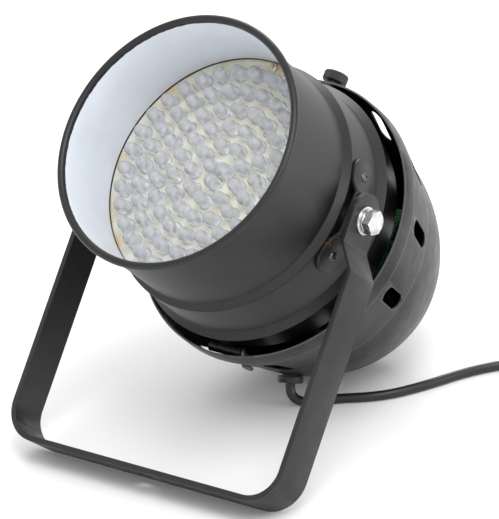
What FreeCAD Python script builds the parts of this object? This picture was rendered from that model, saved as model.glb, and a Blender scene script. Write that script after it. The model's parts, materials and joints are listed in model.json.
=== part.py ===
import FreeCAD, Part
import math
import os
import Sketcher
from FreeCAD import Placement, Rotation, Vector

# LED par can light: a spun front can and a hinged rear dome in a flat-bar yoke, with its mains cord.
# Everything but the cord is drawn in the can's own frame: +Z is the beam, +X the pivot axis, and the
# origin is the centre of the front lip. The finished part is then leaned back onto its yoke and dome, as
# it stands on a floor, with the origin at the bottom centre of its box. Lengths are in millimetres.

DIMENSIONS = {
    "wall": 1.2, "lean": 44.8,
    "bead_radius": 2.75, "snoot_radius": 90.7, "snoot_end": 74.0,
    "belt_radius": 95.0, "belt_start": 80.0, "belt_end": 117.0, "ring_radius": 100.25, "ring_end": 122.0,
    "neck_radius": 93.6, "neck_start": 100.0, "neck_end": 150.0,
    "board_radius": 89.2, "board_front": 63.7, "board_thick": 1.6, "tray_front": 72.0,
    "lamp_radius": 5.0, "lamp_height": 13.0, "lamp_flange": 5.7, "lamp_pitch": 13.9,
    "rim_radius": 107.1, "rim_front": 137.4, "crease_one": 150.1, "crease_one_radius": 107.4,
    "crease_two": 194.8, "crease_two_radius": 95.3, "shoulder": 261.3, "shoulder_radius": 70.5,
    "flank_curve": 160.0, "crown_curve": 95.1, "crown_end": 283.7, "crown_radius": 50.0,
    "port_radius": 43.0, "vent_radius": 6.0, "vent_reach": 16.0, "vent_height": 174.0, "plate_radius": 48.0,
    "plate_thick": 2.0, "pivot_back": 94.3, "yoke_half": 119.8, "yoke_reach": 209.4, "bar_width": 31.6,
    "bar_thick": 3.8, "corner_radius": 25.8, "joggle": 13.7, "joggle_start": 19.0, "joggle_end": 38.0,
    "tab_end": 19.0, "yoke_angle": 5.0, "bolt_radius": 5.0, "clamp_hole": 5.5,
    "bracket_face": 101.3, "bracket_thick": 2.5, "bracket_width": 27.0, "tab_angle": 18.0,
    "foot_inner": 7.5, "foot_outer": 13.0, "bridge_half": 16.5,
    "cable_diameter": 7.0, "bushing_angle": -82.3, "bushing_back": 214.0, "bushing_length": 5.5,
    "bushing_radius": 9.2, "hinge_drop": 99.4, "hinge_back": 147.0, "screw_back": 147.0,
    "coil_radius": 36.0, "coil_width": 15.0, "coil_height": 13.5,
}
VENT_ANGLES = [12.5 + 28.8 * step for step in range(-3, 3)]
LAMP_PHASES = [27.5, 23.0, 0.1, 7.2, 11.4, 2.9]

doc = FreeCAD.newDocument("par_can")
sizes = doc.addObject("Spreadsheet::Sheet", "sizes")
for row, (alias, number) in enumerate(DIMENSIONS.items(), start=1):
    sizes.set("A%d" % row, alias)
    sizes.set("B%d" % row, str(number))
    sizes.setAlias("B%d" % row, alias)
doc.recompute()

subparts = []
placed = []


def size(text):
    """Value of a formula in the sheet's aliases."""
    return float(sizes.evalExpression(formula(text)))


def formula(text):
    """Expression in which every alias is read from the sheet."""
    words = sorted(DIMENSIONS, key=len, reverse=True)
    out, spot = "", 0
    text = str(text)
    while spot < len(text):
        word = next((w for w in words if text.startswith(w, spot)), None)
        before = text[spot - 1] if spot else " "
        if word and not (before.isalnum() or before in "._"):
            out += "sizes." + word
            spot += len(word)
        else:
            out += text[spot]
            spot += 1
    return out


def place(thing, local=None):
    """Remember an object's placement in the can's frame and give it that placement."""
    local = local or Placement()
    placed.append((thing, local))
    thing.Placement = local
    return thing


def keep(thing, label):
    """Name an object as one of the part's nodes."""
    thing.Label = label
    subparts.append(thing)
    return thing


def origin_plane(body, role):
    """One of a body's own origin planes or axes."""
    return next(feature for feature in body.Origin.OriginFeatures if feature.Role == role)


def new_sketch(body, name, role):
    """Sketch on one of the body's origin planes."""
    sketch = body.newObject("Sketcher::SketchObject", name)
    sketch.AttachmentSupport = [(origin_plane(body, role), "")]
    sketch.MapMode = "FlatFace"
    return sketch


def pin_coordinate(sketch, kind, edge, end, text):
    """Bind one coordinate of a sketch point to a formula."""
    number = size(text)
    if abs(number) < 1e-9:
        axis = -2 if kind == "DistanceX" else -1
        sketch.addConstraint(Sketcher.Constraint("PointOnObject", edge, end, axis))
        return
    ends = (-1, 1, edge, end) if number > 0 else (edge, end, -1, 1)
    index = sketch.addConstraint(Sketcher.Constraint(kind, *ends, abs(number)))
    text = formula(text) if number > 0 else "-(%s)" % formula(text)
    sketch.setExpression("Constraints[%d]" % index, text)


def circle_through(start, finish, radius, bulge):
    """Arc from start to finish of a given radius; bulge +1 turns left of the chord, -1 right."""
    chord = finish - start
    middle = (start + finish) * 0.5
    side = Vector(-chord.y, chord.x, 0).normalize()
    rise = math.sqrt(max(radius ** 2 - (chord.Length / 2) ** 2, 0.0))
    centre = middle - side * rise * bulge
    return centre, (middle + side * bulge - centre).normalize() * radius + centre


def outline(sketch, corners):
    """Closed outline of formula points; a third entry makes the edge after it an arc.

    That entry is (radius formula, bulge, large): bulge is +1 when the arc lies left of its chord.
    """
    points = [Vector(size(corner[0]), size(corner[1]), 0) for corner in corners]
    count = len(corners)
    turned = []
    for index, corner in enumerate(corners):
        start, finish = points[index], points[(index + 1) % count]
        if len(corner) == 3:
            radius, bulge, large = corner[2]
            centre, through = circle_through(start, finish, size(radius), bulge * (-1 if large else 1))
            if large:
                through = centre + (centre - through)
            flipped = (through - start).cross(finish - through).z < 0
            ends = (finish, start) if flipped else (start, finish)
            sketch.addGeometry(Part.Arc(ends[0], through, ends[1]))
        else:
            sketch.addGeometry(Part.LineSegment(start, finish))
            flipped = False
        turned.append(flipped)
        corner_end = 2 if flipped else 1
        pin_coordinate(sketch, "DistanceX", index, corner_end, corner[0])
        pin_coordinate(sketch, "DistanceY", index, corner_end, corner[1])
        if len(corner) == 3:
            if (finish - start).Length > 1.999 * size(corner[2][0]):
                sketch.addConstraint(Sketcher.Constraint("Symmetric", index, 1, index, 2, index, 3))
            else:
                mark = sketch.addConstraint(Sketcher.Constraint("Radius", index, size(corner[2][0])))
                sketch.setExpression("Constraints[%d]" % mark, formula(corner[2][0]))
    for index in range(count):
        after = (index + 1) % count
        last, first = (1 if turned[index] else 2), (2 if turned[after] else 1)
        sketch.addConstraint(Sketcher.Constraint("Coincident", index, last, after, first))
    return sketch


def new_body(name):
    """Empty PartDesign body."""
    return doc.addObject("PartDesign::Body", name + "_body")


def revolved(name, corners, local=None):
    """Body turned about its Z axis from an outline in radius and height."""
    body = new_body(name)
    sketch = outline(new_sketch(body, name + "_profile", "XZ_Plane"), corners)
    turn = body.newObject("PartDesign::Revolution", name + "_turn")
    turn.Profile = sketch
    turn.ReferenceAxis = (sketch, ["V_Axis"])
    turn.Angle = 360
    doc.recompute()
    return place(body, local)


def padded(name, corners, depth, local=None):
    """Body raised half its depth each way along Z from an outline on its XY plane."""
    body = new_body(name)
    sketch = outline(new_sketch(body, name + "_profile", "XY_Plane"), corners)
    pad = body.newObject("PartDesign::Pad", name + "_pad")
    pad.Profile = sketch
    pad.setExpression("Length", formula(depth))
    pad.SideType = "Symmetric"
    doc.recompute()
    return place(body, local)


def cylinder(name, radius, height, local):
    """Part cylinder whose axis is its local Z, starting at its own origin."""
    rod = doc.addObject("Part::Cylinder", name)
    rod.setExpression("Radius", formula(radius))
    rod.setExpression("Height", formula(height))
    return place(rod, local)


def box(name, length, width, height, middle):
    """Part box centred on a point of the can's frame."""
    block = doc.addObject("Part::Box", name)
    block.setExpression("Length", formula(length))
    block.setExpression("Width", formula(width))
    block.setExpression("Height", formula(height))
    corner = Vector(size(length), size(width), size(height)) * 0.5
    return place(block, Placement(middle - corner, Rotation()))


def cut(name, base, tools):
    """Base with the tools taken away."""
    for number, tool in enumerate(tools):
        result = doc.addObject("Part::Cut", "%s_cut_%d" % (name, number))
        result.Base = base
        result.Tool = tool
        base = result
    return base


def fuse(name, shapes):
    """One solid from several touching ones."""
    joined = doc.addObject("Part::MultiFuse", name + "_fuse")
    joined.Shapes = shapes
    joined.Refine = True
    return joined


def gather(name, shapes):
    """Several equal pieces kept as one node."""
    group = doc.addObject("Part::Compound", name + "_group")
    group.Links = shapes
    return keep(group, name)


def along(axis, start):
    """Placement whose local Z points along an axis from a start point."""
    return Placement(Vector(*start), Rotation(Vector(0, 0, 1), Vector(*axis)))


def polar(radius, degrees, height):
    """Point of the can's frame from radius, angle about the beam axis and height."""
    turn = math.radians(degrees)
    return Vector(radius * math.cos(turn), radius * math.sin(turn), height)


def rod_between(name, radius, axis, start, length):
    """Cylinder from a start point along an axis."""
    return cylinder(name, radius, length, along(axis, start))


def side_turn(side):
    """Half turn about the beam for the left-hand copy of a side piece."""
    return Placement(Vector(), Rotation(Vector(0, 0, 1), 0 if side == "right" else 180))


# ---------------------------------------------------------------- front can and neck
keep(revolved("front_can", [
    ("snoot_radius - wall", "-bead_radius", ("bead_radius", 1, True)),
    ("snoot_radius", "-bead_radius - 2.2716"),
    ("snoot_radius", "-snoot_end"),
    ("belt_radius", "-belt_start"),
    ("belt_radius", "-belt_end"),
    ("ring_radius", "-ring_end"),
    ("ring_radius - 0.85", "-ring_end - 0.85"),
    ("belt_radius - wall", "-belt_end - 0.5"),
    ("belt_radius - wall", "-belt_start - 0.4"),
    ("snoot_radius - wall", "-snoot_end - 0.4"),
]), "front_can")

neck = revolved("neck_ring", [
    ("neck_radius - wall", "-neck_start"),
    ("neck_radius", "-neck_start"),
    ("neck_radius", "-neck_end"),
    ("neck_radius - wall", "-neck_end"),
])
keep(neck, "neck_ring")

# ---------------------------------------------------------------- light source
BOARD_ANGLES = (84.4, 270.2)
BOARD_SCREW_CIRCLE = 85.2
M3_CLEARANCE, M3_SHANK = 1.6, 1.5
UP = (0, 0, 1)


def disc_with_holes(name, radius, front, thick, holes):
    """Round sheet whose front face is at a depth behind the lip, with holes (x, y, radius)."""
    back = -size(front) - size(thick)
    disc = cylinder(name + "_disc", radius, thick, Placement(Vector(0, 0, back), Rotation()))
    drills = []
    for number, (x_place, y_place, hole_radius) in enumerate(holes):
        drill_name = "%s_drill_%d" % (name, number)
        drills.append(rod_between(drill_name, hole_radius, UP, (x_place, y_place, back - 1), size(thick) + 2))
    return cut(name, disc, drills)


screw_holes = []
for angle in BOARD_ANGLES:
    spot = polar(BOARD_SCREW_CIRCLE, angle, 0)
    screw_holes.append((spot.x, spot.y, M3_CLEARANCE))
keep(disc_with_holes("led_board", "board_radius", "board_front", "board_thick", screw_holes), "led_board")
keep(disc_with_holes("board_tray", "board_radius", "tray_front", 1.5, screw_holes), "board_tray")

for ring, phase in enumerate(LAMP_PHASES, start=1):
    lamp_count = 6 * ring - 3
    lamp_circle = size("lamp_pitch") * (ring - 0.5)
    bulb, flange, tall = size("lamp_radius"), size("lamp_flange"), size("lamp_height")
    stem = Part.makeCylinder(bulb, tall - bulb)
    dome_cap = Part.makeSphere(bulb, Vector(0, 0, tall - bulb), Vector(0, 0, 1), 0, 90, 360)
    lamp = Part.makeCylinder(flange, 1.5).fuse(stem).fuse(dome_cap).removeSplitter()
    lamps = []
    for number in range(lamp_count):
        copy = lamp.copy()
        lamp_angle = phase + 360.0 * number / lamp_count
        copy.Placement = Placement(polar(lamp_circle, lamp_angle, -size("board_front")), Rotation())
        lamps.append(copy)
    lamp_ring = doc.addObject("Part::Feature", "led_ring_%d" % ring)
    lamp_ring.Shape = Part.makeCompound(lamps)
    keep(place(lamp_ring), "led_ring_%d" % ring)

spacers, board_screws = [], []
tray_level, board_level = -size("tray_front"), -size("board_front")
spacer_length = size("tray_front - board_front - board_thick")
for number, angle in enumerate(BOARD_ANGLES, start=1):
    spot = polar(BOARD_SCREW_CIRCLE, angle, 0)
    at_tray, below_tray = (spot.x, spot.y, tray_level), (spot.x, spot.y, tray_level - 1.5)
    spacer = rod_between("spacer_rod_%d" % number, 3.0, UP, at_tray, spacer_length)
    drill = rod_between("spacer_drill_%d" % number, M3_CLEARANCE, UP, below_tray, spacer_length + 3)
    spacers.append(cut("board_spacer_%d" % number, spacer, [drill]))
    head = rod_between("board_head_%d" % number, 3.2, UP, (spot.x, spot.y, board_level), 1.9)
    shank = rod_between("board_shank_%d" % number, M3_SHANK, UP, below_tray, 9.8)
    slot = box("board_slot_%d" % number, 0.8, 8.0, 1.2, Vector(spot.x, spot.y, board_level + 1.6))
    screw = fuse("board_screw_%d" % number, [head, shank])
    board_screws.append(cut("board_screw_%d" % number, screw, [slot]))
gather("board_spacers", spacers)
gather("board_screws", board_screws)

driver = box("driver_block", 96.0, 70.0, 1.6, Vector(0, 0, -82.3))
chips = []
for number in range(3):
    middle = Vector(-30 + 30 * number, 12 - 12 * number, -84.6)
    chips.append(box("driver_chip_%d" % number, 18.0, 12.0, 5.0, middle))
keep(fuse("driver_board", [driver] + chips), "driver_board")
driver_pegs = []
for number, x_place in enumerate((-40.0, 40.0)):
    driver_pegs.append(rod_between("driver_peg_%d" % number, 3.0, UP, (x_place, 0, -81.5), 8.0))
gather("driver_spacers", driver_pegs)

# ---------------------------------------------------------------- side brackets, rivets and pivot bolts
BELT_GAP = 0.05


def bracket(side):
    """Bridge bracket: a raised middle strip with two feet riveted to the belt."""
    turn = math.radians(size("tab_angle"))
    outward = Vector(math.cos(turn), math.sin(turn), 0)
    along_belt = Vector(-math.sin(turn), math.cos(turn), 0)
    foot = outward * (size("belt_radius") + BELT_GAP)
    near, far = foot - along_belt * size("foot_inner"), foot + along_belt * size("foot_outer")
    near_top, far_top = near + outward * size("bracket_thick"), far + outward * size("bracket_thick")
    knee, thick = size("bridge_half"), size("bracket_thick")
    face = size("bracket_face")
    upper = [(face, knee), (near_top.x, near_top.y), (far_top.x, far_top.y), (far.x, far.y),
             (near.x, near.y), (face - thick, knee - 0.55 * thick)]
    lower = [(x_place, -y_place) for x_place, y_place in reversed(upper)]
    name = "side_bracket_" + side
    level = Placement(Vector(0, 0, -size("pivot_back")), Rotation())
    strip = padded(name, upper + lower, "bracket_width", side_turn(side).multiply(level))
    round_end = ("bracket_width / 2", -1, False)
    half_width = size("bracket_width") / 2
    straight = far.y + 0.6 - half_width
    stand = Rotation(Vector(0, 1, 0), Vector(0, 0, 1), Vector(1, 0, 0), "XYZ")
    stadium = padded(name + "_stadium", [
        (straight, -half_width, round_end), (straight, half_width),
        (-straight, half_width, round_end), (-straight, -half_width),
    ], 40, side_turn(side).multiply(Placement(Vector(95, 0, -size("pivot_back")), stand)))
    trimmed = doc.addObject("Part::Common", name + "_trim")
    trimmed.Base = strip
    trimmed.Tool = stadium
    bore = along((1, 0, 0), (80, 0, -size("pivot_back")))
    drill = cylinder(name + "_drill", "bolt_radius + 0.2", 40, side_turn(side).multiply(bore))
    return cut(name, trimmed, [drill])


def hex_prism(name, flats, height, local):
    """Hexagonal prism with one corner up."""
    prism = doc.addObject("Part::Prism", name)
    prism.Polygon = 6
    prism.setExpression("Circumradius", formula("(%s) / cos(30 deg)" % flats) + " / 2")
    prism.setExpression("Height", formula(height))
    return place(prism, local)


def pivot_hardware(side):
    """Bolt, washers and nut of one pivot, stacked outwards along the pivot axis."""
    def at(depth):
        return side_turn(side).multiply(along((1, 0, 0), (size(depth), 0, -size("pivot_back"))))

    def washer(name, radius, hole, start, thick):
        disc = cylinder(name + "_disc", radius, thick, at(start))
        return cut(name, disc, [cylinder(name + "_hole", hole, "(%s) + 4" % thick, at("(%s) - 2" % start))])

    outer = "yoke_half - joggle"
    gap = outer + " - bar_thick - bracket_face - 0.02"
    keep(washer("friction_washer_" + side, 12.0, 5.3, "bracket_face", gap), "friction_washer_" + side)
    keep(washer("flat_washer_" + side, 10.0, 5.3, outer + " + 0.02", 1.8), "flat_washer_" + side)
    keep(washer("spring_washer_" + side, 8.8, 5.3, outer + " + 1.82", 2.2), "spring_washer_" + side)
    head = hex_prism("bolt_head_" + side, "16", "6.4", at(outer + " + 4.02"))
    shank = cylinder("bolt_shank_" + side, "bolt_radius", outer + " + 4.02 - 95.4", at("95.4"))
    keep(fuse("hex_bolt_" + side, [head, shank]), "hex_bolt_" + side)
    nut = hex_prism("nut_prism_" + side, "16", "3.3", at("95.4"))
    keep(cut("weld_nut_" + side, nut, [cylinder("nut_bore_" + side, 5.0, 8, at("93"))]), "weld_nut_" + side)


for side in ("right", "left"):
    keep(bracket(side), "side_bracket_" + side)
    pivot_hardware(side)
    rivets = []
    for mark, sign in (("upper", 1), ("lower", -1)):
        turn = math.radians(size("tab_angle")) * sign
        axis = Vector(math.cos(turn), math.sin(turn), 0)
        base = axis * (size("belt_radius + bracket_thick") + BELT_GAP) + Vector(0, 0, -size("pivot_back"))
        name = "rivet_%s_%s" % (mark, side)
        head = doc.addObject("Part::Sphere", name + "_head")
        head.Radius = 4.2
        head.Angle1 = 30
        place(head, side_turn(side).multiply(along(axis, base - axis * 2.1)))
        shank = cylinder(name + "_shank", 1.9, 5.2, side_turn(side).multiply(along(axis, base - axis * 4.9)))
        rivets.append(fuse(name, [head, shank]))
    gather("bracket_rivets_" + side, rivets)

# ---------------------------------------------------------------- yoke
yoke_place = Placement(Vector(0, 0, -size("pivot_back")), Rotation(Vector(1, 0, 0), size("yoke_angle")))
outer_half, inner_half = "yoke_half", "(yoke_half - bar_thick)"
tab_outer, tab_inner = "(yoke_half - joggle)", "(yoke_half - joggle - bar_thick)"
yoke_body = padded("yoke", [
    ("-(yoke_half - corner_radius)", "-yoke_reach"),
    ("yoke_half - corner_radius", "-yoke_reach", ("corner_radius", -1, False)),
    (outer_half, "-(yoke_reach - corner_radius)"),
    (outer_half, "-joggle_end - 1"),
    (tab_outer, "-joggle_start - 1"),
    (tab_outer, "tab_end"),
    (tab_inner, "tab_end"),
    (tab_inner, "-joggle_start + 1"),
    (inner_half, "-joggle_end + 1"),
    (inner_half, "-(yoke_reach - corner_radius)", ("corner_radius - bar_thick", 1, False)),
    ("yoke_half - corner_radius", "-(yoke_reach - bar_thick)"),
    ("-(yoke_half - corner_radius)", "-(yoke_reach - bar_thick)", ("corner_radius - bar_thick", 1, False)),
    ("-" + inner_half, "-(yoke_reach - corner_radius)"),
    ("-" + inner_half, "-joggle_end + 1"),
    ("-" + tab_inner, "-joggle_start + 1"),
    ("-" + tab_inner, "tab_end"),
    ("-" + tab_outer, "tab_end"),
    ("-" + tab_outer, "-joggle_start - 1"),
    ("-" + outer_half, "-joggle_end - 1"),
    ("-" + outer_half, "-(yoke_reach - corner_radius)", ("corner_radius", -1, False)),
], "bar_width", yoke_place)
rounding = new_body("yoke_rounding")
outline(new_sketch(rounding, "yoke_rounding_profile", "YZ_Plane"), [
    ("tab_end - bar_width / 2", "-bar_width / 2", ("bar_width / 2", -1, False)),
    ("tab_end - bar_width / 2", "bar_width / 2"),
    ("-yoke_reach - 5", "bar_width / 2"),
    ("-yoke_reach - 5", "-bar_width / 2"),
])
rounding_pad = rounding.newObject("PartDesign::Pad", "yoke_rounding_pad")
rounding_pad.Profile = doc.getObject("yoke_rounding_profile")
rounding_pad.Length = 260
rounding_pad.SideType = "Symmetric"
place(rounding, yoke_place)
yoke_trim = doc.addObject("Part::Common", "yoke_trim")
yoke_trim.Base = yoke_body
yoke_trim.Tool = rounding
pivot_line = yoke_place.multiply(along((1, 0, 0), (-130, 0, 0)))
pivot_drill = cylinder("yoke_pivot_drill", "bolt_radius + 0.05", 260, pivot_line)
clamp_line = yoke_place.multiply(along((0, 1, 0), (0, -215, 0)))
clamp_drill = cylinder("yoke_clamp_drill", "clamp_hole", 20, clamp_line)
keep(cut("yoke", yoke_trim, [pivot_drill, clamp_drill]), "yoke")

# ---------------------------------------------------------------- rear dome
STRAP_SCREW_Z = -178
dome_shell = revolved("rear_dome", [
    ("rim_radius", "-rim_front"),
    ("crease_one_radius", "-crease_one"),
    ("crease_two_radius", "-crease_two", ("flank_curve", 1, False)),
    ("shoulder_radius", "-shoulder", ("crown_curve", 1, False)),
    ("crown_radius", "-crown_end"),
    ("port_radius", "-crown_end"),
    ("port_radius", "-crown_end + wall"),
    ("crown_radius - 0.5", "-crown_end + wall", ("crown_curve - wall", -1, False)),
    ("shoulder_radius - 1.0", "-shoulder + 0.66", ("flank_curve - wall", -1, False)),
    ("crease_two_radius - wall", "-crease_two + 0.1"),
    ("crease_one_radius - wall", "-crease_one + 0.15"),
    ("rim_radius - wall", "-rim_front"),
])
dome_drills = []


def vent_tool(name, angle):
    """Long round-ended block that punches one vent, longest along the beam axis."""
    turn = math.radians(angle)
    outward = Vector(math.cos(turn), math.sin(turn), 0)
    stand = Rotation(Vector(0, 0, 1), Vector(outward.y, -outward.x, 0), outward, "XYZ")
    middle = outward * size("belt_radius") - Vector(0, 0, size("vent_height"))
    straight, round_end = "vent_reach - vent_radius", ("vent_radius", -1, False)
    return padded(name, [
        (straight, "-vent_radius", round_end), (straight, "vent_radius"),
        ("-(" + straight + ")", "vent_radius", round_end), ("-(" + straight + ")", "-vent_radius"),
    ], 40, Placement(middle, stand))


for number, angle in enumerate(VENT_ANGLES):
    dome_drills.append(vent_tool("vent_right_%d" % number, angle))
    dome_drills.append(vent_tool("vent_left_%d" % number, 180 - angle))
bushing_turn = math.radians(size("bushing_angle"))
bushing_axis = Vector(0.933 * math.cos(bushing_turn), 0.933 * math.sin(bushing_turn), -0.36).normalize()
bushing_foot = polar(91.7, size("bushing_angle"), -size("bushing_back"))
dome_drills.append(rod_between("bushing_drill", 6.5, bushing_axis, bushing_foot - bushing_axis * 15, 30))
dome_drills.append(rod_between("screw_drill", 3.4, (0, 1, 0), (0, 95, -size("screw_back")), 30))
dome_drills.append(rod_between("strap_drill", 2.1, (0, -1, 0), (0, -85, STRAP_SCREW_Z), 30))
keep(cut("rear_dome", dome_shell, dome_drills), "rear_dome")

# ---------------------------------------------------------------- latch: fork on the neck, screw on the dome
screw_z = -size("screw_back")
latch_parts = [
    box("latch_foot", 16.0, 1.6, 10.0, Vector(0, size("neck_radius") + 0.8, -129.0)),
    box("latch_riser", 16.0, 10.9, 1.6, Vector(0, size("neck_radius") + 5.45, -133.2)),
    box("latch_tab", 16.0, 1.6, 18.0, Vector(0, size("neck_radius") + 10.1, -141.4)),
]
latch_slot = [box("latch_slot", 7.0, 6.0, 12.0, Vector(0, 104, -148.2)),
              rod_between("latch_slot_end", 3.5, (0, 1, 0), (0, 101, -142.2), 6)]
keep(cut("latch_fork", fuse("latch_fork", latch_parts), latch_slot), "latch_fork")

thumb_parts = [
    rod_between("thumb_shank", 2.9, (0, 1, 0), (0, 97.4, screw_z), 12.0),
    rod_between("thumb_neck", 5.2, (0, 1, 0), (0, 107.9, screw_z), 4.0),
    rod_between("thumb_head", 9.2, (0, 1, 0), (0, 110.2, screw_z), 7.2),
    rod_between("thumb_keeper", 5.2, (0, 1, 0), (0, 97.4, screw_z), 3.4),
]
keep(fuse("thumb_screw", thumb_parts), "thumb_screw")

# ---------------------------------------------------------------- lower hinge
hinge_y, hinge_z = -size("hinge_drop"), -size("hinge_back")
knuckle = rod_between("hinge_knuckle_can", 3.8, (1, 0, 0), (-6, hinge_y, hinge_z), 12)
knuckle_leaf = box("hinge_leaf_can", 12.0, 2.6, 18.0, Vector(0, hinge_y + 4.4, -139.0))
knuckle_bore = rod_between("hinge_bore_can", 2.05, (1, 0, 0), (-10, hinge_y, hinge_z), 20)
keep(cut("hinge_lug", fuse("hinge_lug", [knuckle, knuckle_leaf]), [knuckle_bore]), "hinge_lug")
strap_parts = []
for number, x_place in enumerate((-14.3, 6.3)):
    knuckle_start, arm_middle = (x_place, hinge_y, hinge_z), Vector(x_place + 4, hinge_y + 0.8, -156.0)
    strap_parts.append(rod_between("hinge_knuckle_%d" % number, 3.8, (1, 0, 0), knuckle_start, 8))
    strap_parts.append(box("hinge_arm_%d" % number, 8.0, 2.0, 16.0, arm_middle))
strap_parts.append(box("hinge_step", 28.6, 5.4, 3.0, Vector(0, hinge_y + 2.5, -161.0)))
strap_parts.append(box("hinge_plate", 28.6, 2.0, 22.0, Vector(0, hinge_y + 4.2, -171.0)))
strap_parts.append(rod_between("hinge_boss", 4.5, (0, -1, 0), (0, hinge_y + 4.0, STRAP_SCREW_Z), 1.9))
strap_bores = [rod_between("hinge_bore_dome", 2.05, (1, 0, 0), (-20, hinge_y, hinge_z), 40),
               rod_between("hinge_screw_bore", 2.05, (0, -1, 0), (0, -90, STRAP_SCREW_Z), 20)]
keep(cut("hinge_strap", fuse("hinge_strap", strap_parts), strap_bores), "hinge_strap")
keep(rod_between("hinge_pin_rod", 2.0, (1, 0, 0), (-14.3, hinge_y, hinge_z), 28.6), "hinge_pin")
strap_screw = [rod_between("strap_screw_head", 4.4, (0, -1, 0), (0, -100.3, STRAP_SCREW_Z), 2.2),
               rod_between("strap_screw_shank", 2.0, (0, -1, 0), (0, -93.2, STRAP_SCREW_Z), 8.0)]
keep(fuse("hinge_screw", strap_screw), "hinge_screw")

# ---------------------------------------------------------------- control plate at the back of the dome
plate_front = -size("crown_end")
plate_back = plate_front - size("plate_thick")


def back_rod(name, radius, x_place, y_place, start, length):
    """Cylinder that points backwards from a depth behind the lip."""
    return rod_between(name, radius, (0, 0, -1), (x_place, y_place, start), length)


BUTTON_PLACES = [-22.5, -7.5, 7.5, 22.5]
SOCKETS = {"input": -16.0, "output": 16.0}
SOCKET_Y = -14.0
WINDOW_Y = 28.0
BUTTON_Y = 13.0
LATCH_Y = SOCKET_Y + 12.4
PLATE_SCREW_CIRCLE = 45.4
PLATE_SCREWS = [45.0, 135.0, 225.0, 315.0]
CONTACT_CIRCLE = 4.2
CONTACTS = [30.0, 150.0, 270.0]
FLANGE_SCREW = (9.5, 12.0)
plate = cylinder("plate_disc", "plate_radius", "plate_thick", Placement(Vector(0, 0, plate_back), Rotation()))
plate_cuts = [box("plate_window", 38.0, 13.0, 8.0, Vector(0, WINDOW_Y, plate_back)),
              box("plate_latch", 8.4, 5.4, 8.0, Vector(SOCKETS["output"], LATCH_Y, plate_back))]
for number, x_place in enumerate(BUTTON_PLACES):
    plate_cuts.append(back_rod("plate_button_%d" % number, 3.3, x_place, BUTTON_Y, plate_front + 2, 8))
for name, x_place in SOCKETS.items():
    plate_cuts.append(back_rod("plate_port_" + name, 12.1, x_place, SOCKET_Y, plate_front + 2, 8))
for number, angle in enumerate(PLATE_SCREWS):
    spot = polar(PLATE_SCREW_CIRCLE, angle, 0)
    hole_name = "plate_screw_hole_%d" % number
    plate_cuts.append(back_rod(hole_name, M3_CLEARANCE, spot.x, spot.y, plate_front + 2, 8))
keep(cut("control_plate", plate, plate_cuts), "control_plate")
plate_screws = []
for number, angle in enumerate(PLATE_SCREWS, start=1):
    spot = polar(PLATE_SCREW_CIRCLE, angle, 0)
    screw = [back_rod("plate_screw_head_%d" % number, 2.2, spot.x, spot.y, plate_back, 1.3),
             back_rod("plate_screw_shank_%d" % number, M3_SHANK, spot.x, spot.y, plate_front + 5, 8)]
    plate_screws.append(fuse("plate_screw_%d" % number, screw))
gather("plate_screws", plate_screws)

window = [box("window_face", 37.6, 12.6, 2.0, Vector(0, WINDOW_Y, plate_back + 1.1)),
          box("window_flange", 42.0, 17.0, 1.2, Vector(0, WINDOW_Y, plate_front + 0.6))]
keep(fuse("display_window", window), "display_window")
keep(box("button_board_sheet", 60.0, 36.0, 1.6, Vector(0, 23, plate_front + 6.2)), "button_board")
for number, x_place in enumerate(BUTTON_PLACES, start=1):
    cap = [back_rod("button_cap_%d" % number, 3.0, x_place, BUTTON_Y, plate_front + 1.0, 4.8),
           back_rod("button_skirt_%d" % number, 4.2, x_place, BUTTON_Y, plate_front + 2.4, 1.8)]
    keep(fuse("button_%d" % number, cap), "button_%d" % number)

socket_screws = []
for name, x_place in SOCKETS.items():
    flange = box("socket_flange_" + name, 26.0, 31.0, 2.0, Vector(x_place, SOCKET_Y, plate_back - 1.0))
    barrel = back_rod("socket_barrel_" + name, 11.9, x_place, SOCKET_Y, plate_front + 20, 24)
    hollow = []
    if name == "input":
        hollow.append(back_rod("socket_hollow_" + name, 9.4, x_place, SOCKET_Y, plate_front + 14, 30))
    else:
        hollow.append(box("latch_window", 7.4, 4.4, 8.0, Vector(x_place, LATCH_Y, plate_back - 2.0)))
        for number, angle in enumerate(CONTACTS):
            spot = polar(CONTACT_CIRCLE, angle, 0) + Vector(x_place, SOCKET_Y, 0)
            hollow.append(back_rod("contact_hole_%d" % number, 1.3, spot.x, spot.y, plate_front + 8, 20))
    for number, sign in enumerate((-1, 1), start=1):
        tag = "%s_%d" % (name, number)
        across, up = x_place + sign * FLANGE_SCREW[0], SOCKET_Y + sign * FLANGE_SCREW[1]
        hollow.append(back_rod("socket_hole_" + tag, M3_CLEARANCE, across, up, plate_back + 2, 8))
        screw = [back_rod("xlr_head_" + tag, 2.4, across, up, plate_back - 2.0, 1.2),
                 back_rod("xlr_shank_" + tag, M3_SHANK, across, up, plate_back + 2.0, 4.2)]
        socket_screws.append(fuse("xlr_screw_" + tag, screw))
    keep(cut("xlr_" + name, fuse("xlr_" + name, [flange, barrel]), hollow), "xlr_" + name)
gather("xlr_screws", socket_screws)
contact_parts = [back_rod("contact_disc", 9.3, SOCKETS["input"], SOCKET_Y, plate_front + 14.0, 1.5)]
for number, angle in enumerate(CONTACTS):
    spot = polar(CONTACT_CIRCLE, angle, 0) + Vector(SOCKETS["input"], SOCKET_Y, 0)
    contact_parts.append(back_rod("contact_pin_%d" % number, 1.2, spot.x, spot.y, plate_front + 16.0, 15))
keep(fuse("xlr_contacts", contact_parts), "xlr_contacts")
keep(box("latch_key", 7.0, 4.0, 3.4, Vector(SOCKETS["output"], LATCH_Y, plate_back - 1.6)), "xlr_latch")

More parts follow.
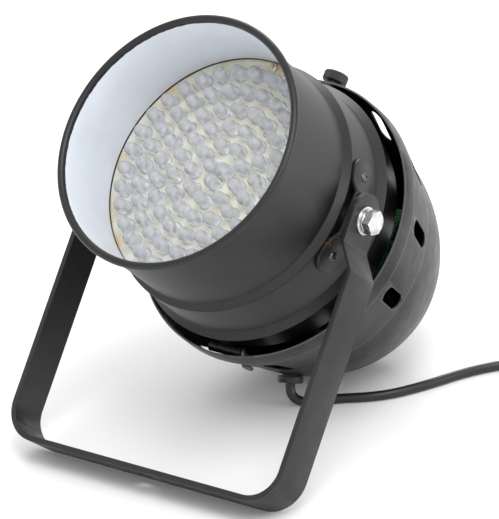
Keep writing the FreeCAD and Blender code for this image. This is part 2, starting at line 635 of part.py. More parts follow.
# ---------------------------------------------------------------- power supply inside the dome
supply_sheet = box("supply_sheet", 100.0, 84.0, 1.6, Vector(0, 6, -215.0))
supply_parts = [supply_sheet,
                box("supply_block_1", 30.0, 20.0, 12.0, Vector(28, -14, -209.0)),
                box("supply_block_2", 24.0, 24.0, 9.0, Vector(28, 22, -210.5)),
                box("supply_block_3", 44.0, 16.0, 7.0, Vector(-22, 28, -211.5))]
keep(fuse("supply_board", supply_parts), "supply_board")
keep(box("transformer_block", 40.0, 38.0, 30.0, Vector(-24, -8, -199.2)), "transformer")
supply_pegs = []
for number, angle in enumerate((30, 150, 210, 330), start=1):
    spot = polar(45.0, angle, 0)
    foot = (spot.x, spot.y, size("wall - crown_end"))
    supply_pegs.append(rod_between("supply_peg_%d" % number, 2.6, UP, foot, size("crown_end - wall") - 215.8))
gather("supply_spacers", supply_pegs)

# ---------------------------------------------------------------- strain relief, cord, coil and plug
relief_foot = bushing_foot + bushing_axis * 0.6
relief = rod_between("relief_rod", "bushing_radius", bushing_axis, relief_foot, "bushing_length - 0.6")
relief_neck = rod_between("relief_neck", 6.3, bushing_axis, bushing_foot - bushing_axis * 6, 7)
keep(fuse("strain_relief", [relief, relief_neck]), "strain_relief")

lean_turn = Rotation(Vector(1, 0, 0), size("lean"))


def non_cord_box():
    """Box of every node that is not part of the cord, in the row's axes."""
    total = FreeCAD.BoundBox()
    for thing in subparts:
        if thing.Shape.isNull() or not thing.Shape.Solids:
            raise ValueError("empty shape: " + thing.Label)
        total.add(thing.Shape.optimalBoundingBox(False))
    return total


for thing, local in placed:
    thing.Placement = Placement(Vector(), lean_turn).multiply(local)
doc.recompute()
bounds = non_cord_box()
shift = Vector(-(bounds.XMin + bounds.XMax) / 2, -(bounds.YMin + bounds.YMax) / 2, -bounds.ZMin)
stance = Placement(shift, lean_turn)
for thing, local in placed:
    thing.Placement = stance.multiply(local)
doc.recompute()

cord_half = size("cable_diameter") / 2
cord_start = stance.multVec(bushing_foot + bushing_axis * size("bushing_length"))
cord_aim = lean_turn.multVec(bushing_axis)
# The cord's points lie in the row frame, after the first two: it drops to the floor, then runs away behind.
FLOOR_POINTS = [
    (16.9, 3.8, 6.3), (21.6, 5.6, 3.5), (30.6, 11.4, 3.5), (42.0, 21.6, 3.5), (57.5, 31.4, 3.5),
    (71.0, 42.6, 3.5), (81.0, 57.0, 3.5), (90.0, 73.5, 3.5), (98.0, 91.0, 3.5), (106.5, 106.0, 3.5),
    (118.5, 121.0, 3.5), (135.0, 133.5, 3.5), (155.0, 145.5, 3.5), (174.0, 158.9, 3.5),
]
TAIL_POINTS = [
    (223.2, 146.0, 6.0), (230.4, 131.5, 6.4), (238.4, 115.8, 9.0), (247.5, 100.5, 14.0), (256.5, 86.5, 18.4),
]


def rounded_route(points):
    """Wire of straight runs joined by tangent arcs, with the radius of each arc."""
    edges, radii, here = [], [], points[0]
    for index in range(1, len(points) - 1):
        before, corner, after = points[index - 1], points[index], points[index + 1]
        come, leave = (corner - before), (after - corner)
        half = come.getAngle(leave) / 2
        setback = 0.45 * min(come.Length, leave.Length)
        radii.append(setback / math.tan(half))
        come_unit, leave_unit = Vector(come).normalize(), Vector(leave).normalize()
        first, last = corner - come_unit * setback, corner + leave_unit * setback
        inward = (leave_unit - come_unit).normalize()
        centre = corner + inward * (setback / math.sin(half))
        middle = centre - inward * radii[-1]
        edges.append(Part.LineSegment(here, first).toShape())
        edges.append(Part.Arc(first, middle, last).toShape())
        here = last
    edges.append(Part.LineSegment(here, points[-1]).toShape())
    return Part.Wire(edges), radii


def cord_solid(label, points):
    """Round cord along a route, checked against its section times its length."""
    route, radii = rounded_route(points)
    aim = (points[1] - points[0]).normalize()
    ring = Part.Wire(Part.makeCircle(cord_half, points[0], aim))
    shape = route.makePipeShell([ring], True, True)
    expected = math.pi * cord_half ** 2 * route.Length
    lowest = shape.optimalBoundingBox(False).ZMin
    print(label, "length %.1f" % route.Length, "volume ratio %.4f" % (shape.Volume / expected),
          "radii", [round(radius, 1) for radius in radii], "lowest %.2f" % lowest)
    if abs(shape.Volume / expected - 1) > 0.01 or lowest < -0.01:
        raise ValueError("the cord's solid is wrong: " + label)
    feature = doc.addObject("Part::Feature", label)
    feature.Shape = shape
    return keep(feature, label)


cord_points = [cord_start, cord_start + cord_aim * 5.7] + [Vector(*point) for point in FLOOR_POINTS]
cord_solid("power_cable", cord_points)
coil_centre = Vector(192.0, 127.7, 0.0)
coil_inner, coil_outer = "coil_radius - coil_width / 2", "coil_radius + coil_width / 2"
coil = revolved("cable_coil", [
    (coil_inner + " + 4", "0"),
    (coil_outer + " - 4", "0", ("4", -1, False)),
    (coil_outer, "4"),
    (coil_outer, "coil_height - 4", ("4", -1, False)),
    (coil_outer + " - 4", "coil_height"),
    (coil_inner + " + 4", "coil_height", ("4", -1, False)),
    (coil_inner, "coil_height - 4"),
    (coil_inner, "4", ("4", -1, False)),
], Placement(coil_centre, Rotation()))
keep(coil, "cable_coil")
cord_solid("cable_tail", [Vector(*point) for point in TAIL_POINTS])

plug_start = Vector(*TAIL_POINTS[-1])
plug_heading = plug_start - Vector(*TAIL_POINTS[-2])
plug_heading.z = 0
plug_heading.normalize()
plug_frame = Placement(plug_start, Rotation(Vector(0, 0, 1), plug_heading))
plug = revolved("plug_body", [
    ("0", "0"), ("5.5", "0"), ("7.5", "14"), ("13", "16"),
    ("14.5", "26"), ("18.4", "28"), ("18.4", "44"), ("0", "44"),
], plug_frame)
keep(plug, "plug_body")
prongs = []
for sign in (-1, 1):
    spot = plug_frame.multVec(Vector(0, 0, 44)) + Vector(0, 0, 9.5 * sign)
    tip = Part.makeSphere(2.4, spot + plug_heading * 16.6)
    prongs.append(Part.makeCylinder(2.4, 16.6, spot, plug_heading).fuse(tip))
pin_feature = doc.addObject("Part::Feature", "plug_pins")
pin_feature.Shape = Part.makeCompound(prongs)
keep(pin_feature, "plug_pins")
doc.recompute()

# ---------------------------------------------------------------- checks and files
for thing in doc.Objects:
    if any(flag in ("Invalid", "Error") for flag in thing.State):
        raise ValueError("%s did not compute: %s" % (thing.Label, thing.State))
os.makedirs("parts", exist_ok=True)
for thing in subparts:
    if thing.Shape.isNull() or not thing.Shape.isValid() or thing.Shape.Volume <= 0:
        raise ValueError("no valid shape for " + thing.Label)
    thing.Shape.exportStep("parts/%s.step" % thing.Label)
print(len(subparts), "sub-parts", "shift", shift, "bounds", non_cord_box())
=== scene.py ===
"""LED par can light: its visible pieces, finishes, mains cord, floor, lights and camera.

Pieces of the can and dome are modelled in millimetres in the can's own frame, where +Z is the beam, +X the
pivot axis and the origin the centre of the front lip. They are then leaned back into the frame that the part
stands in.
"""
import json
import logging
import math
from contextlib import contextmanager
from dataclasses import dataclass, field
from enum import Enum
from typing import Iterator

import bpy
from mathutils import Matrix, Vector

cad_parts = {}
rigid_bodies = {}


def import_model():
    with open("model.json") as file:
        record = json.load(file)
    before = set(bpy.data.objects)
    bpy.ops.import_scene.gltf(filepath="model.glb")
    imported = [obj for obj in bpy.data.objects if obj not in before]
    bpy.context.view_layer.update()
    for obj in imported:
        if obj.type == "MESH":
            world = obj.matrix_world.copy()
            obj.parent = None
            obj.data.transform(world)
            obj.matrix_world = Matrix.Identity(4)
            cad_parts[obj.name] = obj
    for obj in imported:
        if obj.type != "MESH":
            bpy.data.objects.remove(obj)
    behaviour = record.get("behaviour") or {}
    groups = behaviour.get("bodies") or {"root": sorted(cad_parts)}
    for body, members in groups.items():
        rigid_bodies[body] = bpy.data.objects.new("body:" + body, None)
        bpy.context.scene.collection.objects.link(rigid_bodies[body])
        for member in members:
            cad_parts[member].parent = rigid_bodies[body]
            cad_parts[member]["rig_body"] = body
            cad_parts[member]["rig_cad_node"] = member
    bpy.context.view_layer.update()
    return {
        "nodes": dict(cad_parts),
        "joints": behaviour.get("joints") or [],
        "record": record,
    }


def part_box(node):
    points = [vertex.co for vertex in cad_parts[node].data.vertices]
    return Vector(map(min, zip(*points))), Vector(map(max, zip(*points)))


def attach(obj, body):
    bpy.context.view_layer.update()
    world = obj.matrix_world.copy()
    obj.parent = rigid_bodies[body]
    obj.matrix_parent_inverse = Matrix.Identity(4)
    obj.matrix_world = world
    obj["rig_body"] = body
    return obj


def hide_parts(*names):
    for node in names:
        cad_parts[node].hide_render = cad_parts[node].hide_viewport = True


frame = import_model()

MM = 0.001
FULL_TURN = 2 * math.pi
LOG = logging.getLogger("par_can")
Profile = list[tuple[float, float]]
Socket = bpy.types.NodeSocket


class Side(Enum):
    """The two sides of the light, by the turn about the beam that brings the right-hand pieces there."""

    RIGHT = 0
    LEFT = 180

    @property
    def word(self) -> str:
        """Name of the side as the nodes spell it."""
        return self.name.lower()


def joint(name: str) -> dict:
    """The frame's joint of that name.

    Args:
        name: Name of a joint in the record.

    Returns:
        The joint's own entry.
    """
    return next(entry for entry in frame["joints"] if entry["name"] == name)


def stance() -> Matrix:
    """Where the can's own frame lies, worked out from two of the joints.

    Returns:
        Matrix from millimetres in the can's frame to metres in the part's frame.
    """
    up_axis = Vector(joint("clamp_screw_turn")["axis"])
    lean = Matrix.Rotation(math.atan2(up_axis.z, up_axis.y), 4, "X")
    pivot = Vector(joint("yoke_tilt")["pos_m"])
    lip = pivot - lean.to_3x3() @ Vector((0, 0, -FrontCan.pivot_back * MM))
    return Matrix.Translation(lip) @ lean @ Matrix.Scale(MM, 4)


# ------------------------------------------------------------------ modelling by hand
def activate(piece: bpy.types.Object) -> None:
    """Make a piece the only selected and active object.

    Args:
        piece: Object to work on.
    """
    if bpy.context.mode != "OBJECT":
        bpy.ops.object.mode_set(mode="OBJECT")
    bpy.ops.object.select_all(action="DESELECT")
    piece.select_set(True)
    bpy.context.view_layer.objects.active = piece


@contextmanager
def editing(piece: bpy.types.Object) -> Iterator[None]:
    """Edit mode on one piece with everything in it selected.

    Args:
        piece: Mesh object to edit.
    """
    activate(piece)
    bpy.ops.object.mode_set(mode="EDIT")
    bpy.ops.mesh.select_mode(type="VERT")
    bpy.ops.mesh.select_all(action="SELECT")
    yield
    bpy.ops.object.mode_set(mode="OBJECT")


def settle(piece: bpy.types.Object, matrix: Matrix) -> bpy.types.Object:
    """Move a piece and put its place into its mesh.

    Args:
        piece: Piece to move.
        matrix: Where it goes.

    Returns:
        The same piece.
    """
    activate(piece)
    piece.matrix_world = matrix @ piece.matrix_world
    bpy.ops.object.transform_apply(location=True, rotation=True, scale=True)
    return piece


def chain(name: str, points: list[Vector]) -> bpy.types.Object:
    """Line of vertices drawn by extruding one point from place to place.

    Args:
        name: Name of the piece.
        points: Places in order.

    Returns:
        The new object.
    """
    bpy.ops.object.select_all(action="DESELECT")
    bpy.ops.mesh.primitive_plane_add(size=1.0, location=points[0])
    piece = bpy.context.active_object
    piece.name = name
    with editing(piece):
        bpy.ops.mesh.merge(type="CENTER")
        for here, there in zip(points, points[1:]):
            bpy.ops.mesh.extrude_vertices_move(TRANSFORM_OT_translate={"value": there - here})
    return settle(piece, Matrix.Identity(4))


def lathe(name: str, profile: Profile, steps: int = 96, sweep: float = FULL_TURN) -> bpy.types.Object:
    """Closed solid turned about Z.

    Args:
        name: Name of the piece.
        profile: Radius and height of each point. It is closed, or starts and ends on the axis.
        steps: Segments round the axis.
        sweep: Angle turned through.

    Returns:
        The new object, with its faces pointing outwards.
    """
    piece = chain(name, [Vector((radius, 0, height)) for radius, height in profile])
    with editing(piece):
        bpy.ops.mesh.spin(steps=steps, angle=sweep, center=(0, 0, 0), axis=(0, 0, 1))
        bpy.ops.mesh.select_all(action="SELECT")
        bpy.ops.mesh.remove_doubles(threshold=0.001)
        if sweep < FULL_TURN:
            bpy.ops.mesh.select_all(action="DESELECT")
            bpy.ops.mesh.select_mode(type="EDGE")
            bpy.ops.mesh.select_non_manifold()
            bpy.ops.mesh.fill_holes(sides=0)
            bpy.ops.mesh.select_all(action="SELECT")
        bpy.ops.mesh.normals_make_consistent(inside=False)
    return piece


def prism(name: str, outline: Profile, height: float) -> bpy.types.Object:
    """Closed plate raised from an outline, centred on its own plane.

    Args:
        name: Name of the piece.
        outline: Corners in order.
        height: Thickness along Z.

    Returns:
        The new object.
    """
    corners = [Vector((across, along, -height / 2)) for across, along in [*outline, outline[0]]]
    piece = chain(name, corners)
    with editing(piece):
        bpy.ops.mesh.remove_doubles(threshold=0.001)
        bpy.ops.mesh.edge_face_add()
        bpy.ops.mesh.extrude_region_move(TRANSFORM_OT_translate={"value": (0, 0, height)})
        bpy.ops.mesh.select_all(action="SELECT")
        bpy.ops.mesh.normals_make_consistent(inside=False)
    return piece


def rod(name: str, radius: float, start: Vector, axis: Vector, length: float,
        sides: int = 32) -> bpy.types.Object:
    """Cylinder from a start point along an axis.

    Args:
        name: Name of the piece.
        radius: Its radius.
        start: Centre of its first end.
        axis: Direction of its length.
        length: Its length.
        sides: Number of sides.

    Returns:
        The new object.
    """
    bpy.ops.object.select_all(action="DESELECT")
    turn = axis.normalized().to_track_quat("Z", "X").to_euler()
    middle = start + axis.normalized() * length / 2
    bpy.ops.mesh.primitive_cylinder_add(vertices=sides, radius=radius, depth=length, location=middle,
                                        rotation=turn)
    bpy.context.active_object.name = name
    return settle(bpy.context.active_object, Matrix.Identity(4))


def block(name: str, size: tuple[float, float, float], middle: Vector) -> bpy.types.Object:
    """Box of a given size about a middle point.

    Args:
        name: Name of the piece.
        size: Its three sides.
        middle: Its centre.

    Returns:
        The new object.
    """
    bpy.ops.object.select_all(action="DESELECT")
    bpy.ops.mesh.primitive_cube_add(size=1.0, location=middle, scale=size)
    bpy.context.active_object.name = name
    return settle(bpy.context.active_object, Matrix.Identity(4))


def join(name: str, pieces: list[bpy.types.Object]) -> bpy.types.Object:
    """Several pieces as one object.

    Args:
        name: Name of the joined piece.
        pieces: Pieces to join.

    Returns:
        The joined object.
    """
    activate(pieces[0])
    for piece in pieces[1:]:
        piece.select_set(True)
    if len(pieces) > 1:
        bpy.ops.object.join()
    bpy.context.active_object.name = name
    return bpy.context.active_object


def duplicate(piece: bpy.types.Object, name: str, matrix: Matrix) -> bpy.types.Object:
    """Copy of a piece with a mesh of its own, moved to a new place.

    Args:
        piece: Piece to copy.
        name: Name of the copy.
        matrix: Move from the piece's place to the copy's.

    Returns:
        The copy.
    """
    activate(piece)
    bpy.ops.object.duplicate(linked=False)
    copy = bpy.context.active_object
    copy.name = name
    return settle(copy, matrix)


def modify(piece: bpy.types.Object, kind: str, **settings: object) -> None:
    """Add one modifier, set it up and apply it.

    Args:
        piece: Piece to change.
        kind: Type of the modifier.
        settings: Values of its properties.
    """
    activate(piece)
    bpy.ops.object.modifier_add(type=kind)
    modifier = piece.modifiers[-1]
    for name, value in settings.items():
        setattr(modifier, name, value)
    bpy.ops.object.modifier_apply(modifier=modifier.name)


def carve(piece: bpy.types.Object, tools: list[bpy.types.Object],
          how: str = "DIFFERENCE") -> bpy.types.Object:
    """Cut a piece with tools, which are used up.

    Args:
        piece: Piece to cut.
        tools: Shapes to cut it with.
        how: Boolean operation.

    Returns:
        The same piece.
    """
    tool = join(tools[0].name, tools)
    modify(piece, "BOOLEAN", object=tool, operation=how, solver="EXACT")
    bpy.data.objects.remove(tool)
    return piece


def soften(piece: bpy.types.Object, width: float, segments: int = 2, angle: float = 30.0) -> bpy.types.Object:
    """Round a piece's sharp edges and smooth what is left.

    Args:
        piece: Piece to finish.
        width: Width of the rounding, in the piece's own units, or 0 for none.
        segments: Steps across the rounding.
        angle: Edges sharper than this are rounded, in degrees.

    Returns:
        The same piece.
    """
    if width > 0:
        modify(piece, "BEVEL", width=width, segments=segments, limit_method="ANGLE",
               angle_limit=math.radians(angle))
    activate(piece)
    bpy.ops.object.shade_smooth_by_angle(angle=math.radians(angle))
    return piece


def arc(centre: tuple[float, float], radius: float, first: float, last: float, steps: int) -> Profile:
    """Points of an arc in a profile.

    Args:
        centre: Middle of the arc.
        radius: Its radius.
        first: Angle of its first point, in degrees.
        last: Angle of its last point, in degrees.
        steps: Number of segments.

    Returns:
        The points, with both ends.
    """
    angles = [math.radians(first + (last - first) * step / steps) for step in range(steps + 1)]
    return [(centre[0] + radius * math.cos(turn), centre[1] + radius * math.sin(turn)) for turn in angles]


def bow(start: tuple[float, float], end: tuple[float, float], radius: float, side: int,
        steps: int = 14) -> Profile:
    """Points of an arc of a given radius between two points.

    Args:
        start: First point.
        end: Last point.
        radius: Radius of the arc.
        side: 1 if it lies left of the line from start to end, -1 if right.
        steps: Number of segments.

    Returns:
        The points, with both ends.
    """
    first, last = Vector(start), Vector(end)
    chord = last - first
    across = Vector((-chord.y, chord.x)).normalized() * side
    centre = (first + last) / 2 - across * math.sqrt(radius ** 2 - (chord.length / 2) ** 2)
    begin = math.atan2(first.y - centre.y, first.x - centre.x)
    sweep = (math.atan2(last.y - centre.y, last.x - centre.x) - begin + math.pi) % FULL_TURN - math.pi
    return arc(tuple(centre), radius, math.degrees(begin), math.degrees(begin + sweep), steps)


def eased(points: Profile, radius: float, steps: int = 4) -> Profile:
    """Line with each inner corner replaced by a small arc.

    Args:
        points: Corners in order; the two ends stay.
        radius: Radius of the arcs.
        steps: Segments in each.

    Returns:
        The rounded line.
    """
    made = [points[0]]
    for before, corner, after in zip(points, points[1:], points[2:]):
        here, come, leave = Vector(corner), Vector(corner) - Vector(before), Vector(after) - Vector(corner)
        half = come.angle(leave) / 2
        if half < 0.01:
            made.append(corner)
            continue
        setback = min(radius * math.tan(half), 0.45 * come.length, 0.45 * leave.length)
        first, last = here - come.normalized() * setback, here + leave.normalized() * setback
        side = -1 if come.x * leave.y - come.y * leave.x > 0 else 1
        made += bow(tuple(first), tuple(last), setback / math.tan(half), side, steps)
    return [*made, points[-1]]


# ------------------------------------------------------------------ finishes
class NodeKit:
    """Node tree of one material, with short ways to add what the finishes need."""

    def __init__(self, name: str) -> None:
        """Start a material with a Principled shader.

        Args:
            name: Name of the material.
        """
        self.material = bpy.data.materials.new(name)
        self.material.use_nodes = True
        self.tree = self.material.node_tree
        self.tree.nodes.clear()
        self.shader = self.tree.nodes.new("ShaderNodeBsdfPrincipled")
        output = self.tree.nodes.new("ShaderNodeOutputMaterial")
        self.tree.links.new(self.shader.outputs["BSDF"], output.inputs["Surface"])
        self.spot = self.tree.nodes.new("ShaderNodeTexCoord").outputs["Object"]

    def feed(self, socket: Socket, value: object) -> None:
        """Give an input a link or a plain value.

        Args:
            socket: Input to set.
            value: Output socket, number or colour.
        """
        if isinstance(value, bpy.types.NodeSocket):
            self.tree.links.new(value, socket)
        elif isinstance(value, tuple) and len(value) == 3 and socket.type == "RGBA":
            socket.default_value = (*value, 1.0)
        else:
            socket.default_value = value

    def set(self, **values: object) -> None:
        """Set the shader's own inputs.

        Args:
            values: Input names, with underscores for spaces, and what they get.
        """
        for name, value in values.items():
            self.feed(self.shader.inputs[name.replace("_", " ")], value)

    def noise(self, scale: float, detail: float = 2.0, where: Socket | None = None) -> Socket:
        """Noise from 0 to 1.

        Args:
            scale: Number of features in a metre.
            detail: Octaves of detail.
            where: Coordinates, or None for the object's own.

        Returns:
            The noise's value.
        """
        node = self.tree.nodes.new("ShaderNodeTexNoise")
        self.feed(node.inputs["Vector"], where or self.spot)
        self.feed(node.inputs["Scale"], scale)
        self.feed(node.inputs["Detail"], detail)
        return node.outputs["Fac"]

    def specks(self, scale: float, reach: float) -> Socket:
        """Small scattered dots.

        Args:
            scale: Number of cells in a metre.
            reach: Radius of a dot as a share of its cell.

        Returns:
            1 in a dot and 0 elsewhere.
        """
        node = self.tree.nodes.new("ShaderNodeTexVoronoi")
        self.feed(node.inputs["Vector"], self.spot)
        self.feed(node.inputs["Scale"], scale)
        return self.span(node.outputs["Distance"], reach, reach * 0.6)

    def span(self, value: Socket, low: float, high: float, to_low: float = 0.0,
             to_high: float = 1.0) -> Socket:
        """Value carried from one range to another and kept inside it.

        Args:
            value: What to carry over.
            low: Value that becomes to_low.
            high: Value that becomes to_high.
            to_low: Result at low.
            to_high: Result at high.

        Returns:
            The new value.
        """
        node = self.tree.nodes.new("ShaderNodeMapRange")
        for name, number in (("Value", value), ("From Min", low), ("From Max", high), ("To Min", to_low),
                             ("To Max", to_high)):
            self.feed(node.inputs[name], number)
        return node.outputs["Result"]

    def math(self, how: str, first: object, second: object = 0.0) -> Socket:
        """One sum of two numbers.

        Args:
            how: Name of the operation.
            first: Left-hand value.
            second: Right-hand value.

        Returns:
            The result.
        """
        node = self.tree.nodes.new("ShaderNodeMath")
        node.operation = how
        self.feed(node.inputs[0], first)
        self.feed(node.inputs[1], second)
        return node.outputs["Value"]

    def vector(self, how: str, first: object, second: object = (0.0, 0.0, 0.0)) -> bpy.types.Node:
        """One sum of two vectors.

        Args:
            how: Name of the operation.
            first: Left-hand vector.
            second: Right-hand vector.

        Returns:
            The node, whose outputs are Vector and Value.
        """
        node = self.tree.nodes.new("ShaderNodeVectorMath")
        node.operation = how
        self.feed(node.inputs[0], first)
        self.feed(node.inputs[1], second)
        return node

    def blend(self, share: object, first: object, second: object) -> Socket:
        """Colour between two colours.

        Args:
            share: 0 for the first, 1 for the second.
            first: First colour.
            second: Second colour.

        Returns:
            The mixed colour.
        """
        node = self.tree.nodes.new("ShaderNodeMix")
        node.data_type = "RGBA"
        for index, value in ((0, share), (6, first), (7, second)):
            self.feed(node.inputs[index], value)
        return node.outputs[2]

    def bump(self, height: Socket, strength: float, depth: float) -> None:
        """Surface relief on the shader.

        Args:
            height: Height from 0 to 1.
            strength: How strongly it shows.
            depth: Height of the relief in metres.
        """
        node = self.tree.nodes.new("ShaderNodeBump")
        self.feed(node.inputs["Height"], height)
        self.feed(node.inputs["Strength"], strength)
        self.feed(node.inputs["Distance"], depth)
        self.feed(self.shader.inputs["Normal"], node.outputs["Normal"])

    def about_beam(self) -> tuple[Socket, Socket]:
        """Radius from the beam axis and depth in front of the lip, both in millimetres.

        Returns:
            Radius and height along the beam.
        """
        matrix = stance()
        lip = tuple(matrix.translation)
        beam = tuple(matrix.to_3x3() @ Vector((0, 0, 1)) / MM)
        away = self.vector("SUBTRACT", self.spot, lip).outputs["Vector"]
        height = self.vector("DOT_PRODUCT", away, beam).outputs["Value"]
        cross = self.vector("CROSS_PRODUCT", away, beam).outputs["Vector"]
        radius = self.vector("LENGTH", cross).outputs["Value"]
        return self.math("DIVIDE", radius, MM), self.math("DIVIDE", height, MM)


@dataclass(frozen=True)
class Finish:
    """A surface finish, made once and shared by its pieces."""

    name: str

    def material(self) -> bpy.types.Material:
        """The finish's material, made on first use.

        Returns:
            The material that every piece of this finish shares.
        """
        found = bpy.data.materials.get(self.name)
        if found:
            return found
        kit = NodeKit(self.name)
        self.mix(kit)
        return kit.material

    def mix(self, kit: NodeKit) -> None:
        """Fill in the material.

        Args:
            kit: Node tree to fill.
        """
        raise NotImplementedError


@dataclass(frozen=True)
class SatinPaint(Finish):
    """Satin black powder coat with a fine skin, faint cloudiness, dust and painted highlight lines along the
    creases.
    """

    tone: tuple[float, float, float] = (0.0045, 0.0045, 0.005)
    gloss: float = 0.4
    dust: tuple[float, float, float] = (0.28, 0.28, 0.29)
    # colour of the thin lighter lines at the creases, a painted highlight where the bends catch the light
    wear_and_crease_highlight: tuple[float, float, float] = (0.2, 0.2, 0.21)
    creases: tuple[float, ...] = ()

    def coat(self, kit: NodeKit) -> Socket:
        """Colour of the paint.

        Args:
            kit: Node tree to use.

        Returns:
            The colour.
        """
        pale = tuple(1.7 * part for part in self.tone)
        cloud = kit.span(kit.noise(28.0, 3.0), 0.35, 0.7)
        colour = kit.blend(cloud, self.tone, pale)
        specks = kit.math("MULTIPLY", kit.specks(420.0, 0.09), kit.span(kit.noise(60.0), 0.56, 0.6))
        colour = kit.blend(specks, colour, self.dust)
        # each crease gets a thin lighter line painted on as a highlight
        if self.creases:
            height = kit.about_beam()[1]
            for crease in self.creases:
                gap = kit.math("ABSOLUTE", kit.math("SUBTRACT", height, crease))
                line = kit.span(gap, 0.55, 0.15, 0.0, 0.5)
                colour = kit.blend(line, colour, self.wear_and_crease_highlight)
        return colour

    def mix(self, kit: NodeKit) -> None:
        """Satin paint all over.

        Args:
            kit: Node tree to fill.
        """
        skin = kit.noise(1500.0, 2.0)
        kit.set(Base_Color=self.coat(kit),
                Roughness=kit.span(kit.noise(90.0, 3.0), 0.3, 0.7, self.gloss - 0.05, self.gloss + 0.06),
                Specular_IOR_Level=0.5)
        kit.bump(skin, 0.16, 0.00012)


@dataclass(frozen=True)
class SnootPaint(SatinPaint):
    """Satin black outside and bluish white inside, with a slightly ragged line between the two, and the black
    left as a painted shade band where the wall meets the board.
    """

    white: tuple[float, float, float] = (0.8, 0.85, 0.92)
    inner_wall: float = 90.1
    white_from: float = -3.6
    # below this height the white gives way to black, painted shade in the corner at the board
    white_stops_for_corner_shade: float = -62.4
    grime: tuple[float, float, float] = (0.2, 0.19, 0.18)
    inner_gloss: float = 0.33

    def mix(self, kit: NodeKit) -> None:
        """Two paints split by place.

        Args:
            kit: Node tree to fill.
        """
        radius, height = kit.about_beam()
        wobble = kit.span(kit.noise(260.0, 3.0), 0.0, 1.0, -0.9, 0.9)
        ragged = kit.math("ADD", height, wobble)
        inside = kit.span(radius, self.inner_wall + 0.05, self.inner_wall - 0.05)
        behind_lip = kit.span(ragged, self.white_from, self.white_from - 0.3)
        # the black band just in front of the board is painted shade for the corner between wall and board
        clear_of_corner_shade = kit.span(height, self.white_stops_for_corner_shade - 0.1, self.white_stops_for_corner_shade + 0.1)
        white = kit.math("MULTIPLY", kit.math("MULTIPLY", inside, behind_lip), clear_of_corner_shade)
        cloud = kit.span(kit.noise(35.0, 4.0), 0.35, 0.7)
        pale = kit.blend(cloud, self.white, tuple(0.93 * part for part in self.white))
        marks = kit.math("MULTIPLY", kit.specks(300.0, 0.075), kit.span(kit.noise(45.0), 0.5, 0.56))
        pale = kit.blend(marks, pale, self.grime)
        skin = kit.noise(1500.0, 2.0)
        kit.set(Base_Color=kit.blend(white, self.coat(kit), pale),
                Roughness=kit.span(white, 0.0, 1.0, self.gloss, self.inner_gloss), Specular_IOR_Level=0.5)
        kit.bump(skin, 0.14, 0.00012)


@dataclass(frozen=True)
class WornPaint(SatinPaint):
    """Satin black with a few scratches through to a copper-coloured undercoat round one spot."""

    spot: tuple[float, float, float] = (0.0, 0.0, 0.0)
    reach: float = 0.011
    undercoat: tuple[float, float, float] = (0.42, 0.17, 0.07)

    def mix(self, kit: NodeKit) -> None:
        """Paint with scratches.

        Args:
            kit: Node tree to fill.
        """
        away = kit.vector("DISTANCE", kit.spot, self.spot).outputs["Value"]
        near = kit.span(away, self.reach, self.reach * 0.5)
        stretch = kit.vector("MULTIPLY", kit.spot, (2.2, 0.5, 1.6)).outputs["Vector"]
        streak = kit.span(kit.noise(900.0, 2.0, stretch), 0.6, 0.63)
        mark = kit.math("MULTIPLY", near, streak)
        kit.set(Base_Color=kit.blend(mark, self.coat(kit), self.undercoat),
                Roughness=self.gloss, Specular_IOR_Level=0.5)
        kit.bump(kit.noise(1500.0, 2.0), 0.16, 0.00012)


@dataclass(frozen=True)
class BoardResin(Finish):
    """Cream lamp board, browned in patches near its rim, with small specks of flux."""

    cream: tuple[float, float, float] = (0.83, 0.81, 0.73)
    yellowed: tuple[float, float, float] = (0.84, 0.72, 0.46)
    stain: tuple[float, float, float] = (0.72, 0.46, 0.16)
    flux: tuple[float, float, float] = (0.34, 0.11, 0.03)
    stain_starts: float = 76.0
    stain_full: float = 87.0

    def mix(self, kit: NodeKit) -> None:
        """Cream with stains.

        Args:
            kit: Node tree to fill.
        """
        radius = kit.about_beam()[0]
        rim = kit.span(radius, self.stain_starts, self.stain_full)
        patch = kit.math("MULTIPLY", rim, kit.span(kit.noise(55.0, 3.0), 0.47, 0.66))
        faint = kit.span(kit.noise(38.0, 3.0), 0.42, 0.72, 0.0, 0.3)
        colour = kit.blend(faint, self.cream, self.yellowed)
        colour = kit.blend(kit.math("MULTIPLY", patch, 0.75), colour, self.stain)
        specks = kit.math("MULTIPLY", kit.specks(170.0, 0.13), kit.span(kit.noise(80.0), 0.48, 0.52))
        colour = kit.blend(specks, colour, self.flux)
        kit.set(Base_Color=colour, Roughness=0.45, Specular_IOR_Level=0.5)
        kit.bump(kit.noise(700.0, 2.0), 0.1, 0.0001)


@dataclass(frozen=True)
class ClearResin(Finish):
    """Water-clear moulded epoxy, very slightly milky."""

    tint: tuple[float, float, float] = (0.95, 0.965, 0.985)

    def mix(self, kit: NodeKit) -> None:
        """Clear resin.

        Args:
            kit: Node tree to fill.
        """
        cloud = kit.span(kit.noise(110.0, 2.0), 0.35, 0.7)
        kit.set(Base_Color=kit.blend(cloud, self.tint, tuple(0.95 * part for part in self.tint)),
                Roughness=kit.span(kit.noise(300.0), 0.3, 0.7, 0.03, 0.09), Transmission_Weight=0.7, IOR=1.42)


@dataclass(frozen=True)
class PlatedMetal(Finish):
    """Bare or plated metal with fine turning marks and dull patches."""

    tone: tuple[float, float, float] = (0.74, 0.75, 0.76)
    gloss: float = 0.26

    def mix(self, kit: NodeKit) -> None:
        """Plated metal.

        Args:
            kit: Node tree to fill.
        """
        dull = kit.span(kit.noise(220.0, 4.0), 0.35, 0.7)
        colour = kit.blend(dull, self.tone, tuple(0.72 * part for part in self.tone))
        kit.set(Base_Color=colour, Metallic=1.0,
                Roughness=kit.span(kit.noise(500.0, 3.0), 0.3, 0.7, self.gloss - 0.06, self.gloss + 0.12))
        kit.bump(kit.noise(2200.0, 2.0), 0.04, 0.00008)


